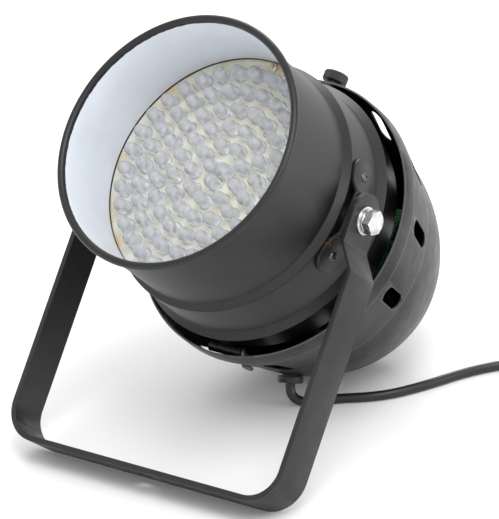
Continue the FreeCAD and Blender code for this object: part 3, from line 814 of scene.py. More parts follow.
@dataclass(frozen=True)
class Moulding(Finish):
    """Moulded plastic or rubber with a fine spark-eroded grain."""

    tone: tuple[float, float, float] = (0.016, 0.016, 0.017)
    gloss: float = 0.45
    grain: float = 1800.0

    def mix(self, kit: NodeKit) -> None:
        """Grained plastic.

        Args:
            kit: Node tree to fill.
        """
        cloud = kit.span(kit.noise(60.0, 3.0), 0.35, 0.7)
        kit.set(Base_Color=kit.blend(cloud, self.tone, tuple(1.5 * part for part in self.tone)),
                Roughness=kit.span(kit.noise(150.0), 0.3, 0.7, self.gloss - 0.04, self.gloss + 0.06),
                Specular_IOR_Level=0.5)
        kit.bump(kit.noise(self.grain, 2.0), 0.18, 0.0001)


@dataclass(frozen=True)
class SolderMask(Finish):
    """Green circuit board, its green darkened nearly to black as painted shade for the inside of the dome,
    with paler copper runs under the mask.
    """

    # base green darkened nearly to black: painted shade for the boards inside the closed dome
    shade_darkened_green: tuple[float, float, float] = (0.006, 0.022, 0.01)
    run_green: tuple[float, float, float] = (0.05, 0.24, 0.09)

    def mix(self, kit: NodeKit) -> None:
        """Circuit board.

        Args:
            kit: Node tree to fill.
        """
        node = kit.tree.nodes.new("ShaderNodeTexBrick")
        kit.feed(node.inputs["Vector"], kit.spot)
        kit.feed(node.inputs["Scale"], 160.0)
        kit.feed(node.inputs["Mortar Size"], 0.06)
        runs = kit.span(node.outputs["Fac"], 0.4, 0.6)
        kit.set(Base_Color=kit.blend(runs, self.shade_darkened_green, self.run_green), Roughness=0.32)
        kit.bump(runs, 0.2, 0.0001)


PAINT = SatinPaint("satin_black_paint")
# the crease heights place painted highlight lines on the dome's rim and bends and on the can's ring
DOME_PAINT = SatinPaint("dome_black_paint", creases=(-137.4, -150.1, -194.8))
CAN_PAINT = SnootPaint("can_two_tone_paint", creases=(-122.4,))
YOKE_PAINT = SatinPaint("yoke_grey_black_paint", tone=(0.007, 0.007, 0.008), gloss=0.44)
BOARD = BoardResin("cream_lamp_board")
RESIN = ClearResin("clear_lamp_resin")
ZINC = PlatedMetal("bright_zinc")
DARK_METAL = PlatedMetal("dark_rivet_metal", tone=(0.16, 0.155, 0.15), gloss=0.36)
BRASS = PlatedMetal("yellow_passivated_screw", tone=(0.72, 0.66, 0.5), gloss=0.24)
SILVER = PlatedMetal("silvered_lead_frame", tone=(0.86, 0.87, 0.88), gloss=0.2)
MILL_METAL = PlatedMetal("mill_finish_sheet", tone=(0.62, 0.63, 0.65), gloss=0.38)
PLASTIC = Moulding("black_moulded_plastic")
SHEATH = Moulding("cable_sheath", tone=(0.012, 0.012, 0.013), gloss=0.34, grain=900.0)
NYLON = Moulding("black_nylon", gloss=0.55)
TAPE = Moulding("yellow_winding_tape", tone=(0.6, 0.42, 0.05), gloss=0.4)
SMOKED = Moulding("smoked_red_window", tone=(0.06, 0.006, 0.006), gloss=0.12, grain=80.0)
# boards inside the dome, their colour darkened as painted shade
GREEN = SolderMask("green_circuit_board")


# ------------------------------------------------------------------ joining pieces to the frame
def body_of(node: str) -> str:
    """Body that a CAD node belongs to.

    Args:
        node: Name of the node.

    Returns:
        Name of its body.
    """
    bodies = frame["record"]["behaviour"]["bodies"]
    return next(body for body, nodes in bodies.items() if node in nodes)


def stand_in(piece: bpy.types.Object, node: str, finish: Finish, replaces: bool = True) -> bpy.types.Object:
    """Dress a finished piece and let it ride with the node's body.

    Args:
        piece: Piece in its final place.
        node: CAD node that it stands for or belongs with.
        finish: Its surface finish.
        replaces: Whether the node is hidden behind it.

    Returns:
        The same piece.
    """
    piece.data.materials.clear()
    piece.data.materials.append(finish.material())
    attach(piece, body_of(node))
    if replaces:
        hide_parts(node)
    LOG.info("%s rides on %s", piece.name, body_of(node))
    return piece


def refined(node: str, finish: Finish, rounding: float = 0.25, name: str = "") -> bpy.types.Object:
    """Merged copy of a CAD node with its edges rounded, standing in for the node.

    Args:
        node: Name of the CAD node.
        finish: Its surface finish.
        rounding: Width of the edge rounding in millimetres.
        name: Name of the piece, or nothing to call it after the node.

    Returns:
        The new piece.
    """
    source = frame["nodes"][node]
    activate(source)
    bpy.ops.object.duplicate(linked=False)
    piece = bpy.context.active_object
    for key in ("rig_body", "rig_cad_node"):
        del piece[key]
    piece.parent = None
    piece.name = name or node + "_finished"
    with editing(piece):
        bpy.ops.mesh.remove_doubles(threshold=2e-6)
        bpy.ops.mesh.dissolve_limited(angle_limit=math.radians(0.3))
    soften(piece, rounding * MM, 2, 34.0)
    return stand_in(piece, node, finish)


# ------------------------------------------------------------------ the mains cord
@dataclass
class MainsCord:
    """Strain relief, mains lead with its put-away coil, and the plug."""

    diameter: float = 7.0
    length: float = 1.05
    relief_radius: float = 9.2
    relief_length: float = 5.5
    relief_angle: float = -82.3
    relief_back: float = 214.0
    relief_foot_radius: float = 91.7
    relief_lean: tuple[float, float] = (0.933, -0.36)
    run_out: float = 5.7
    coil_centre: tuple[float, float] = (192.0, 127.7)
    coil_inner: float = 32.3
    coil_outer: float = 39.7
    coil_start: float = 120.0
    coil_step: int = 15
    low: float = 3.5
    high: float = 10.7
    floor_points: list[tuple[float, float, float]] = field(default_factory=lambda: [
        (16.9, 3.8, 6.3), (21.6, 5.6, 3.5), (30.6, 11.4, 3.5), (42.0, 21.6, 3.5), (57.5, 31.4, 3.5),
        (71.0, 42.6, 3.5), (81.0, 57.0, 3.5), (90.0, 73.5, 3.5), (98.0, 91.0, 3.5), (106.5, 106.0, 3.5),
        (118.5, 121.0, 3.5), (135.0, 134.5, 3.5), (153.0, 149.0, 3.5)])
    tail_points: list[tuple[float, float, float]] = field(default_factory=lambda: [
        (233.8, 133.5, 10.8), (241.0, 118.0, 11.4), (247.5, 102.5, 14.6), (252.3, 93.0, 18.0),
        (256.5, 86.5, 18.4)])
    plug_height: float = 18.4
    plug_behind: tuple[float, float] = (247.5, 100.5)

    def relief_frame(self) -> tuple[Vector, Vector]:
        """Foot and axis of the strain relief in the can's frame.

        Returns:
            The foot and the unit axis.
        """
        turn = math.radians(self.relief_angle)
        out = Vector((math.cos(turn), math.sin(turn), 0))
        foot = out * self.relief_foot_radius + Vector((0, 0, -self.relief_back))
        return foot, (out * self.relief_lean[0] + Vector((0, 0, self.relief_lean[1]))).normalized()

    def coil_points(self) -> list[Vector]:
        """Turns of the coil, two on the floor and then two on top of them.

        Returns:
            Control points in millimetres of the part's frame.
        """
        stages = [(0, self.coil_outer, self.low), (300, self.coil_outer, self.low),
                  (360, self.coil_inner, self.low), (612, self.coil_inner, self.low),
                  (660, self.coil_inner, self.high), (915, self.coil_inner, self.high),
                  (975, self.coil_outer, self.high), (1170, self.coil_outer, self.high)]
        made = []
        for travelled in range(0, stages[-1][0], self.coil_step):
            before = max(stage for stage in stages if stage[0] <= travelled)
            after = stages[stages.index(before) + 1]
            share = (travelled - before[0]) / (after[0] - before[0])
            radius = before[1] + (after[1] - before[1]) * share
            height = before[2] + (after[2] - before[2]) * share
            turn = math.radians(self.coil_start - travelled)
            reach = radius / math.cos(math.radians(self.coil_step / 2))
            made.append(Vector((self.coil_centre[0] + reach * math.cos(turn),
                                self.coil_centre[1] + reach * math.sin(turn), height)))
        return made

    def route(self) -> list[Vector]:
        """Control points of the whole cord in millimetres of the part's frame.

        Returns:
            The points, from the strain relief to the plug.
        """
        foot, axis = self.relief_frame()
        matrix = stance()
        start = matrix @ (foot + axis * self.relief_length) / MM
        aim = (matrix.to_3x3() @ axis / MM).normalized()
        first = [start, start + aim * self.run_out]
        return [*first, *map(Vector, self.floor_points), *self.coil_points(), *map(Vector, self.tail_points)]

    def build(self) -> None:
        relief = self.relief()
        plug, pins = self.plug()
        points = self.route()
        curve = bpy.data.curves.new("mains_lead", "CURVE")
        curve.dimensions = "3D"
        curve.bevel_depth = self.diameter / 2 * MM
        curve.bevel_resolution = 5
        curve.resolution_u = 8
        curve.use_fill_caps = True
        spline = curve.splines.new("NURBS")
        spline.points.add(len(points) - 1)
        for knot, point in zip(spline.points, points):
            knot.co = (*(point * MM), 1.0)
        spline.order_u = 3
        spline.use_endpoint_u = True
        lead = bpy.data.objects.new("mains_lead", curve)
        bpy.context.scene.collection.objects.link(lead)
        stand_in(lead, "power_cable", SHEATH)
        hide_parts("cable_coil", "cable_tail")

    def relief(self) -> bpy.types.Object:
        """Two-half clamp bushing that grips the lead where it leaves the dome.

        Returns:
            The bushing in its final place.
        """
        reach, thick = self.relief_radius, self.relief_length
        body = lathe("strain_relief_bushing", [
            (0, -6.0), (6.2, -6.0), (6.2, 0.6), (reach, 0.6), *arc((reach - 1.1, thick - 1.1), 1.1, 0, 90, 4),
            (6.0, thick), (5.2, thick - 0.7), (0, thick - 0.7)], 48)
        gap = block("bushing_split", (2 * reach + 2, 0.9, 3.6), Vector((0, 0, thick - 1.2)))
        notch = (2.4, 5.0, 3.0)
        notches = [block("bushing_notch_%d" % side, notch, Vector((side * reach, 0, thick - 1.0)))
                   for side in (-1, 1)]
        carve(body, [gap])
        carve(body, notches)
        soften(body, 0.25)
        foot, axis = self.relief_frame()
        place = Matrix.Translation(foot) @ axis.to_track_quat("Z", "X").to_matrix().to_4x4()
        settle(body, stance() @ place)
        return stand_in(body, "strain_relief", PLASTIC)

    def plug(self) -> tuple[bpy.types.Object, bpy.types.Object]:
        """Generic round two-pin plug: moulded body with grip ribs, and its pins.

        Returns:
            The body and the pins.
        """
        sleeve = [(0, 0), (4.6, 0), (5.5, 0.6)]
        for rib in range(5):
            low = 2.0 + 2.4 * rib
            sleeve += [(5.5 + 0.3 * rib, low), (6.4 + 0.3 * rib, low + 0.4), (6.4 + 0.3 * rib, low + 1.4),
                       (5.6 + 0.3 * rib, low + 1.8)]
        corners = [(7.5, 14.2), (13.0, 16.0), (14.5, 26.0), (18.4, 28.0), (18.4, 43.0), (17.4, 44.0)]
        shell = eased(corners, 2.0)
        body = lathe("plug_moulding", [*sleeve, *shell, (0, 44.0)], 64)
        groove = (4.0, 20.0, 1.0)
        grips = [block("plug_grip_%d_%d" % (side, row), groove, Vector((side * 15.6, 0, 18.0 + 2.4 * row)))
                 for side in (-1, 1) for row in range(3)]
        carve(body, grips)
        soften(body, 0.2)
        end = Vector(self.tail_points[-1])
        heading = Vector((end.x - self.plug_behind[0], end.y - self.plug_behind[1], 0)).normalized()
        place = Matrix.Translation(Vector((end.x, end.y, self.plug_height)) * MM)
        turn = heading.to_track_quat("Z", "Y").to_matrix().to_4x4()
        settle(body, place @ turn @ Matrix.Scale(MM, 4))
        return stand_in(body, "plug_body", PLASTIC), refined("plug_pins", ZINC, 0.0)


# ------------------------------------------------------------------ the front can
@dataclass
class FrontCan:
    """Spun front can with its rolled lip and flared ring, and the neck behind it."""

    wall: float = 1.2
    bead: float = 2.75
    snoot: float = 90.7
    snoot_end: float = -74.0
    belt: float = 95.0
    belt_start: float = -80.0
    belt_end: float = -117.0
    ring: float = 100.25
    ring_end: float = -122.0
    neck: float = 93.6
    neck_start: float = -100.0
    neck_end: float = -150.0
    bead_meets: float = -124.3
    turns: int = 192
    pivot_back: float = 94.3

    def build(self) -> None:
        """Make the can and the neck."""
        stand_in(self.can(), "front_can", CAN_PAINT)
        stand_in(self.sleeve(), "neck_ring", PAINT)
        refined("latch_fork", PAINT, 0.3)
        refined("hinge_lug", PAINT, 0.3)

    def can(self) -> bpy.types.Object:
        """Spun shell from lip to ring.

        Returns:
            The shell in its final place.
        """
        lip = arc((self.snoot - self.wall + self.bead, -self.bead), self.bead, 180, self.bead_meets, 22)
        outside = eased([lip[-1], (self.snoot, self.snoot_end), (self.belt, self.belt_start),
                         (self.belt, self.belt_end), (self.ring, self.ring_end)], 2.2, 4)
        inside = eased([(self.ring - 0.85, self.ring_end - 0.85),
                        (self.belt - self.wall, self.belt_end - 0.5),
                        (self.belt - self.wall, self.belt_start - 0.4),
                        (self.snoot - self.wall, self.snoot_end - 0.4), lip[0]], 1.6, 3)
        piece = lathe("spun_front_can", [*lip, *outside[1:], *inside], self.turns)
        soften(piece, 0.0, angle=24.0)
        return settle(piece, stance())

    def sleeve(self) -> bpy.types.Object:
        """Plain neck that the dome closes over.

        Returns:
            The neck in its final place.
        """
        inner = self.neck - self.wall
        piece = lathe("neck_sleeve", [(inner, self.neck_start), (self.neck, self.neck_start),
                                      (self.neck, self.neck_end), (inner, self.neck_end),
                                      (inner, self.neck_start)], self.turns)
        soften(piece, 0.2)
        return settle(piece, stance())


# ------------------------------------------------------------------ the light source
@dataclass
class LightSource:
    """Lamp board with its rings of clear lamps, and the tray and driver behind it."""

    board_front: float = -63.7
    pitch: float = 13.9
    lamp_radius: float = 5.0
    lamp_height: float = 13.0
    flange: float = 5.7
    spin_step: float = 47.0
    phases: tuple[float, ...] = (27.5, 23.0, 0.1, 7.2, 11.4, 2.9)

    def build(self) -> None:
        """Make the boards and the lamps."""
        refined("led_board", BOARD, 0.15, "lamp_board")
        for node, finish, rounding in (("board_tray", MILL_METAL, 0.2), ("board_screws", BRASS, 0.25),
                                       ("board_spacers", ZINC, 0.1), ("driver_board", GREEN, 0.1),
                                       ("driver_spacers", NYLON, 0.2)):
            refined(node, finish, rounding)
        lens, inside = self.lens(), self.lead_frame()
        for ring, phase in enumerate(self.phases, start=1):
            count = 6 * ring - 3
            circle = self.pitch * (ring - 0.5)
            places = [self.place(circle, phase + 360.0 * number / count, number * self.spin_step)
                      for number in range(count)]
            for pattern, word, finish, replaces in ((lens, "lenses", RESIN, True),
                                                    (inside, "frames", SILVER, False)):
                copies = [duplicate(pattern, "copy", stance() @ place) for place in places]
                group = join("lamp_%s_ring_%d" % (word, ring), copies)
                stand_in(group, "led_ring_%d" % ring, finish, replaces)
        for pattern in (lens, inside):
            bpy.data.objects.remove(pattern)

    def place(self, circle: float, angle: float, spin: float) -> Matrix:
        """Where one lamp stands on the board.

        Args:
            circle: Radius of its ring.
            angle: Its angle round the board in degrees.
            spin: Its own turn in degrees.

        Returns:
            Matrix in the can's frame.
        """
        turn = math.radians(angle)
        spot = Vector((circle * math.cos(turn), circle * math.sin(turn), self.board_front))
        return Matrix.Translation(spot) @ Matrix.Rotation(math.radians(spin), 4, "Z")

    def lens(self) -> bpy.types.Object:
        """Clear body of one lamp: flange, straight sides and round top.

        Returns:
            The body, standing on the origin.
        """
        top = arc((0, self.lamp_height - self.lamp_radius), self.lamp_radius, 0, 90, 5)
        piece = lathe("lamp_lens", [(0, 0.02), (self.flange, 0.02), (self.flange, 1.5),
                                    (self.lamp_radius, 1.5), *top[:-1], (0, self.lamp_height)], 20)
        return soften(piece, 0.0, angle=40.0)

    def lead_frame(self) -> bpy.types.Object:
        """Two posts inside a lamp, one with the cup that holds the die.

        Returns:
            The posts, standing on the origin.
        """
        cup = lathe("lamp_frame", [(0, 4.0), (1.0, 4.0), (1.6, 5.6), (1.25, 5.6), (0.7, 4.7), (0, 4.7)], 10)
        posts = [block("lamp_post_%d" % side, (0.6, 0.6, 4.2), Vector((side * 1.1, 0, 2.2)))
                 for side in (-1, 1)]
        anvil = block("lamp_anvil", (1.4, 0.5, 1.6), Vector((1.9, 0, 4.7)))
        return soften(join("lamp_frame", [cup, *posts, anvil]), 0.0, angle=40.0)


# ------------------------------------------------------------------ pivots and yoke
@dataclass
class SidePivot:
    """Bracket, rivets, bolt and washers on one side."""

    side: Side
    outer_face: float = 106.1
    bolt_radius: float = 5.0
    flats: float = 16.0
    head_height: float = 6.4
    head_start: float = 110.12
    shank_start: float = 95.4
    rivet_circle: float = 97.55
    rivet_angle: float = 18.0
    chamfer: float = 1.9
    split: float = 349.0
    scratch_inset: tuple[float, float, float] = (-0.004, 0.006, -0.004)

    def build(self) -> None:
        """Make every piece of this side."""
        word = self.side.word
        bracket_paint = PAINT
        if self.side is Side.RIGHT:
            low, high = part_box("side_bracket_right")
            inset = self.scratch_inset
            # spot where the bracket's paint is scratched through
            wear_and_crease_highlight = (high.x + inset[0], low.y + inset[1], (low.z + high.z) / 2 + inset[2])
            bracket_paint = WornPaint("scratched_bracket_paint", spot=wear_and_crease_highlight)
        refined("side_bracket_" + word, bracket_paint, 0.35)
        refined("friction_washer_" + word, NYLON, 0.3)
        refined("flat_washer_" + word, ZINC, 0.25)
        refined("weld_nut_" + word, ZINC, 0.3)
        stand_in(self.turned(self.spring_washer()), "spring_washer_" + word, ZINC)
        stand_in(self.turned(self.bolt()), "hex_bolt_" + word, ZINC)
        stand_in(self.rivets(), "bracket_rivets_" + word, DARK_METAL)

    def turned(self, piece: bpy.types.Object) -> bpy.types.Object:
        """Lay a piece made about Z along the pivot axis on this side.

        Args:
            piece: Piece whose Z becomes the way out along the pivot.

        Returns:
            The same piece in its final place.
        """
        lay = Matrix.Translation((0, 0, -FrontCan.pivot_back)) @ Matrix.Rotation(math.pi / 2, 4, "Y")
        return settle(piece, stance() @ Matrix.Rotation(math.radians(self.side.value), 4, "Z") @ lay)

    def bolt(self) -> bpy.types.Object:
        """Hexagon bolt with a chamfered head and a plain shank.

        Returns:
            The bolt about Z.
        """
        corner = self.flats / 2 / math.cos(math.radians(30))
        start, top = self.head_start, self.head_start + self.head_height
        head = rod("pivot_bolt", corner, Vector((0, 0, start)), Vector((0, 0, 1)), self.head_height, 6)
        chamfer = lathe("bolt_chamfer", [(0, start - 1), (corner + 2, start - 1),
                                         (corner + 2, top - self.chamfer), (self.flats / 2 - 0.3, top),
                                         (0, top)], 48)
        carve(head, [chamfer], "INTERSECT")
        soften(head, 0.18)
        shank = rod("bolt_shank", self.bolt_radius, Vector((0, 0, self.shank_start)), Vector((0, 0, 1)),
                    start - self.shank_start + 0.5, 40)
        soften(shank, 0.3)
        return join("pivot_bolt_" + self.side.word, [head, shank])

    def spring_washer(self) -> bpy.types.Object:
        """Split ring of square wire.

        Returns:
            The washer about Z.
        """
        low, high = self.outer_face + 1.84, self.outer_face + 4.0
        section = [(5.4, low), (8.8, low), (8.8, high), (5.4, high), (5.4, low)]
        piece = lathe("split_washer_" + self.side.word, section, 46, math.radians(self.split))
        return soften(piece, 0.2)

    def rivets(self) -> bpy.types.Object:
        """Two domed rivets with hexagon recesses on the bracket's feet.

        Returns:
            Both rivets in their final place.
        """
        made = []
        for sign in (1, -1):
            cap = arc((0, -2.1), 4.2, 30, 90, 8)[:-1]
            head = lathe("rivet_%d" % sign, [(0, -3.0), (1.9, -3.0), (1.9, 0), *cap, (0, 2.1)], 36)
            recess = rod("recess", 1.35, Vector((0, 0, 1.0)), Vector((0, 0, 1)), 3.0, 6)
            soften(carve(head, [recess]), 0.12)
            lay = Matrix.Rotation(math.radians(self.side.value + sign * self.rivet_angle), 4, "Z")
            spot = Matrix.Translation((self.rivet_circle, 0, -FrontCan.pivot_back))
            out = spot @ Matrix.Rotation(math.pi / 2, 4, "Y")
            made.append(settle(head, stance() @ lay @ out))
        return join("domed_rivets_" + self.side.word, made)


@dataclass
class Yoke:
    """Flat bar bent into a stirrup, with joggled ends."""

    half: float = 119.8
    reach: float = 209.4
    width: float = 31.6
    thick: float = 3.8
    corner: float = 25.8
    joggle: float = 13.7
    joggle_start: float = 19.0
    joggle_end: float = 38.0
    tab_end: float = 19.0
    angle: float = 5.0
    pivot_hole: float = 5.05
    clamp_hole: float = 5.5

    def bar(self) -> Profile:
        """Outline of the bar seen from the front, all the way round.

        Returns:
            Corners across and along, in order.
        """
        outer, inner, bend = self.half, self.half - self.thick, self.corner
        tab, tab_inner = self.half - self.joggle, self.half - self.joggle - self.thick
        right_out = eased([(tab, self.tab_end), (tab, -self.joggle_start - 1), (outer, -self.joggle_end - 1),
                           (outer, -(self.reach - bend))], 6.0, 4)
        right_out += arc((outer - bend, -(self.reach - bend)), bend, 0, -90, 16)[1:]
        right_in = eased([(tab_inner, self.tab_end), (tab_inner, -self.joggle_start + 1),
                          (inner, -self.joggle_end + 1), (inner, -(self.reach - bend))], 6.0, 4)
        right_in += arc((outer - bend, -(self.reach - bend)), bend - self.thick, 0, -90, 16)[1:]
        left_out = [(-across, along) for across, along in reversed(right_out)]
        left_in = [(-across, along) for across, along in right_in]
        return [*right_out, *left_out, *left_in, *reversed(right_in)]

    def build(self) -> None:
        """Make the yoke from its bar, its rounded ends and its holes."""
        piece = prism("bent_bar_yoke", self.bar(), self.width)
        half, top = self.width / 2, self.tab_end - self.width / 2
        wide = half + 1.0
        window = prism("yoke_window", [(-wide, -self.reach - 5), (wide, -self.reach - 5), (wide, top - 3.0),
                                       *arc((0, top), half, 0, 180, 32), (-wide, top - 3.0)], 3 * self.half)
        across_for_deep = Matrix(((0, 0, 1, 0), (0, 1, 0, 0), (1, 0, 0, 0), (0, 0, 0, 1)))
        settle(window, across_for_deep)
        with editing(window):
            bpy.ops.mesh.normals_make_consistent(inside=False)
        carve(piece, [window], "INTERSECT")
        pivot = rod("pivot_drill", self.pivot_hole, Vector((-150, 0, 0)), Vector((1, 0, 0)), 300, 48)
        clamp_start = Vector((0, -self.reach - 10, 0))
        clamp = rod("clamp_drill", self.clamp_hole, clamp_start, Vector((0, 1, 0)), 20, 40)
        carve(piece, [pivot, clamp])
        soften(piece, 0.45, 3)
        pivot_spot = Matrix.Translation((0, 0, -FrontCan.pivot_back))
        settle(piece, stance() @ pivot_spot @ Matrix.Rotation(math.radians(self.angle), 4, "X"))
        stand_in(piece, "yoke", YOKE_PAINT)


# ------------------------------------------------------------------ the rear dome
@dataclass
class RearDome:
    """Spun rear dome with vents, and its latch screw and hinge."""

    wall: float = 1.2
    rim: tuple[float, float] = (107.1, -137.4)
    first_crease: tuple[float, float] = (107.4, -150.1)
    second_crease: tuple[float, float] = (95.3, -194.8)
    shoulder: tuple[float, float] = (70.5, -261.3)
    crown: tuple[float, float] = (50.0, -283.7)
    port: float = 43.0
    flank_curve: float = 160.0
    crown_curve: float = 95.1
    vent: float = 6.0
    vent_reach: float = 16.0
    vent_height: float = -174.0
    vent_first: float = 12.5
    vent_pitch: float = 28.8
    screw_height: float = -147.0
    screw_bore: float = 3.4
    strap_height: float = -178.0
    strap_bore: float = 2.1
    relief_bore: float = 6.5
    drill_length: float = 30.0
    knurl: tuple[float, float] = (110.9, 116.4)
    knurl_depth: float = 0.32

    def build(self) -> None:
        """Make the dome and what is fixed to its rim."""
        stand_in(self.shell(), "rear_dome", DOME_PAINT)
        stand_in(self.thumb_screw(), "thumb_screw", PLASTIC)
        refined("hinge_strap", PAINT, 0.3)
        refined("hinge_pin", ZINC, 0.2)
        refined("hinge_screw", DARK_METAL, 0.5)

    def shell(self) -> bpy.types.Object:
        """Spun shell with slotted vents and the holes for the relief and the screws.

        Returns:
            The shell in its final place.
        """
        wall = self.wall
        outside = [self.rim, self.first_crease, self.second_crease,
                   *bow(self.second_crease, self.shoulder, self.flank_curve, 1)[1:],
                   *bow(self.shoulder, self.crown, self.crown_curve, 1)[1:], (self.port, self.crown[1])]
        inner_crown = (self.crown[0] - 0.5, self.crown[1] + wall)
        inner_shoulder = (self.shoulder[0] - 1.0, self.shoulder[1] + 0.66)
        inner_second = (self.second_crease[0] - wall, self.second_crease[1] + 0.1)
        inside = [(self.port, self.crown[1] + wall), inner_crown,
                  *bow(inner_crown, inner_shoulder, self.crown_curve - wall, -1)[1:],
                  *bow(inner_shoulder, inner_second, self.flank_curve - wall, -1)[1:],
                  (self.first_crease[0] - wall, self.first_crease[1] + 0.15),
                  (self.rim[0] - wall, self.rim[1])]
        piece = lathe("spun_rear_dome", [*outside, *inside, self.rim], 192)
        carve(piece, self.drills())
        soften(piece, 0.22, 2, 38.0)
        return settle(piece, stance())

    def drills(self) -> list[bpy.types.Object]:
        """Tools that cut the vents and the other holes of the shell.

        Returns:
            The tools in the can's frame.
        """
        made = []
        for side in Side:
            for step in range(-3, 3):
                turn = math.radians(self.vent_first + self.vent_pitch * step)
                across = math.cos(turn) * (1 if side is Side.RIGHT else -1)
                out = Vector((across, math.sin(turn), 0))
                made.append(self.vent_tool("vent_%s_%d" % (side.word, step), out))
        foot, axis = MainsCord().relief_frame()
        holes = (("relief_drill", self.relief_bore, foot - axis * self.drill_length / 2, axis),
                 ("screw_drill", self.screw_bore, Vector((0, 95, self.screw_height)), Vector((0, 1, 0))),
                 ("strap_drill", self.strap_bore, Vector((0, -85, self.strap_height)), Vector((0, -1, 0))))
        return made + [rod(name, bore, start, way, self.drill_length) for name, bore, start, way in holes]

    def vent_tool(self, name: str, out: Vector) -> bpy.types.Object:
        """Round-ended block that cuts one vent, longest along the beam axis.

        Args:
            name: Name of the tool.
            out: Unit direction from the beam axis through the vent.

        Returns:
            The tool in the can's frame.
        """
        straight = self.vent_reach - self.vent
        outline = [*arc((straight, 0), self.vent, -90, 90, 10), *arc((-straight, 0), self.vent, 90, 270, 10)]
        lay = Matrix(((0, out.y, out.x, 0), (0, -out.x, out.y, 0), (1, 0, 0, 0), (0, 0, 0, 1)))
        middle = out * self.second_crease[0] + Vector((0, 0, self.vent_height))
        return settle(prism(name, outline, 40), Matrix.Translation(middle) @ lay)

    def thumb_screw(self) -> bpy.types.Object:
        """Knurled thumb screw with a narrower neck.

        Returns:
            The screw in its final place.
        """
        piece = lathe("knurled_thumb_screw", [
            (0, 97.4), (5.2, 97.4), (5.2, 100.8), (2.9, 100.8), (2.9, 107.9), (4.7, 107.9), (5.2, 108.4),
            (5.2, 109.8), (6.2, 110.3), (8.6, 110.3), (8.9, 110.8), (8.9, 112.7), (8.9, 114.6), (8.9, 116.5),
            (8.5, 117.2), (5.0, 117.4), (0, 117.2)], 64)
        with editing(piece):
            bpy.ops.mesh.select_all(action="DESELECT")
            bpy.ops.object.mode_set(mode="OBJECT")
            for face in piece.data.polygons:
                middle = face.center
                on_rim = math.hypot(middle.x, middle.y) > 8.0
                face.select = on_rim and self.knurl[0] < middle.z < self.knurl[1]
            bpy.ops.object.mode_set(mode="EDIT")
            bpy.ops.mesh.select_mode(type="FACE")
            bpy.ops.mesh.poke(offset=self.knurl_depth)
        soften(piece, 0.0, angle=22.0)
        lay = Matrix.Translation((0, 0, self.screw_height)) @ Matrix.Rotation(-math.pi / 2, 4, "X")
        return settle(piece, stance() @ lay)


# ------------------------------------------------------------------ the control panel and the dome's inside
@dataclass
class ControlPanel:
    """Back plate with display, four buttons and two signal sockets."""

    pieces: tuple[tuple[str, Finish, float], ...] = (
        ("control_plate", PAINT, 0.3), ("plate_screws", ZINC, 0.3), ("display_window", SMOKED, 0.25),
        ("button_board", GREEN, 0.1), ("button_1", PLASTIC, 0.4), ("button_2", PLASTIC, 0.4),
        ("button_3", PLASTIC, 0.4), ("button_4", PLASTIC, 0.4), ("xlr_input", PLASTIC, 0.3),
        ("xlr_output", PLASTIC, 0.3), ("xlr_screws", ZINC, 0.3), ("xlr_contacts", SILVER, 0.15),
        ("xlr_latch", PLASTIC, 0.3))

    def build(self) -> None:
        """Finish every piece of the panel."""
        for node, finish, rounding in self.pieces:
            refined(node, finish, rounding)


@dataclass
class PowerSupply:
    """Supply board with its parts, and the wound transformer."""

    winding_size: tuple[float, float, float] = (28.0, 40.6, 22.0)
    winding_rounding: float = 2.5

    def build(self) -> None:
        """Finish the board and model what stands on it."""
        refined("supply_board", GREEN, 0.15)
        refined("supply_spacers", NYLON, 0.2)
        refined("transformer", MILL_METAL, 0.6)
        low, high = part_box("transformer")
        middle = (low + high) / 2
        matrix = stance()
        own = matrix.inverted() @ middle
        winding = block("transformer_winding", self.winding_size, own)
        soften(winding, self.winding_rounding, 4)
        stand_in(settle(winding, matrix), "transformer", TAPE, False)


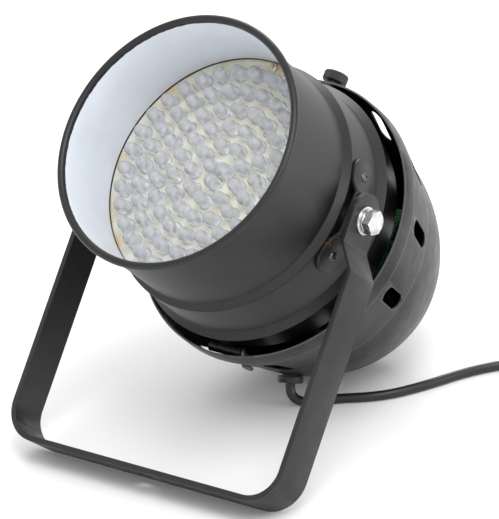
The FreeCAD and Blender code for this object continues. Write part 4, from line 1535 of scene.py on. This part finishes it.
# ------------------------------------------------------------------ floor, lights and camera
@dataclass
class Studio:
    """Pale floor, soft lights and the camera."""

    azimuth: float = 39.57
    elevation: float = 24.52
    roll: float = -5.67
    distance: float = 2.831
    aim: tuple[float, float, float] = (-0.0015, -0.0082, 0.1173)
    lens: float = 288.6
    sensor: float = 36.0
    floor_side: float = 14.0
    glow: float = 0.95
    softboxes: tuple[tuple[str, tuple[float, float, float], float, float], ...] = (
        ("key", (0.9, -0.6, 2.1), 1.3, 26.0), ("back", (-1.0, 1.7, 1.6), 1.2, 20.0),
        ("side", (2.2, 0.5, 0.9), 0.9, 9.0))

    def build(self) -> None:
        """Make the floor, the lights, the surroundings and the camera."""
        self.camera()
        self.floor()
        self.surroundings()
        for name, place, size, power in self.softboxes:
            self.softbox(name, place, size, power)
        scene = bpy.context.scene
        scene.view_settings.view_transform = "Standard"
        scene.view_settings.look = "None"

    def back(self) -> Vector:
        """Direction from the aim to the camera."""
        turn, tilt = math.radians(self.azimuth), math.radians(self.elevation)
        return Vector((math.sin(turn) * math.cos(tilt), -math.cos(turn) * math.cos(tilt), math.sin(tilt)))

    def camera(self) -> None:
        """Long-lens camera, slightly rolled."""
        data = bpy.data.cameras.new("camera")
        data.lens, data.sensor_width, data.sensor_fit = self.lens, self.sensor, "HORIZONTAL"
        camera = bpy.data.objects.new("camera", data)
        bpy.context.scene.collection.objects.link(camera)
        look = (-self.back()).to_track_quat("-Z", "Y").to_matrix().to_4x4()
        place = Matrix.Translation(Vector(self.aim) + self.back() * self.distance)
        camera.matrix_world = place @ look @ Matrix.Rotation(math.radians(self.roll), 4, "Z")
        bpy.context.scene.camera = camera

    def floor(self) -> None:
        """Wide matt white floor."""
        bpy.ops.object.select_all(action="DESELECT")
        bpy.ops.mesh.primitive_plane_add(size=self.floor_side)
        floor = bpy.context.active_object
        floor.name = "floor"
        kit = NodeKit("white_floor")
        faint = kit.span(kit.noise(0.8, 2.0), 0.3, 0.7)
        kit.set(Base_Color=kit.blend(faint, (0.93, 0.93, 0.93), (0.95, 0.95, 0.95)), Roughness=0.9,
                Specular_IOR_Level=0.1)
        floor.data.materials.append(kit.material)

    def surroundings(self) -> None:
        """Even white light from all round."""
        world = bpy.data.worlds.new("white_surroundings")
        world.use_nodes = True
        light = world.node_tree.nodes["Background"]
        light.inputs["Color"].default_value = (1.0, 1.0, 1.0, 1.0)
        light.inputs["Strength"].default_value = self.glow
        bpy.context.scene.world = world

    def softbox(self, name: str, place: tuple[float, float, float], size: float, power: float) -> None:
        """Square area light aimed at the object.

        Args:
            name: Name of the light.
            place: Where it hangs.
            size: Side of the square.
            power: Its power in watts.
        """
        data = bpy.data.lights.new(name, "AREA")
        data.size, data.energy = size, power
        light = bpy.data.objects.new(name, data)
        bpy.context.scene.collection.objects.link(light)
        light.location = place
        light.rotation_euler = (Vector(place) - Vector(self.aim)).to_track_quat("Z", "Y").to_euler()


def main() -> None:
    """Build the studio and every sub-assembly."""
    logging.basicConfig(level=logging.INFO, format="%(name)s: %(message)s")
    Studio().build()
    MainsCord().build()
    FrontCan().build()
    LightSource().build()
    for side in Side:
        SidePivot(side).build()
    Yoke().build()
    RearDome().build()
    ControlPanel().build()
    PowerSupply().build()


if __name__ == "__main__":
    main()
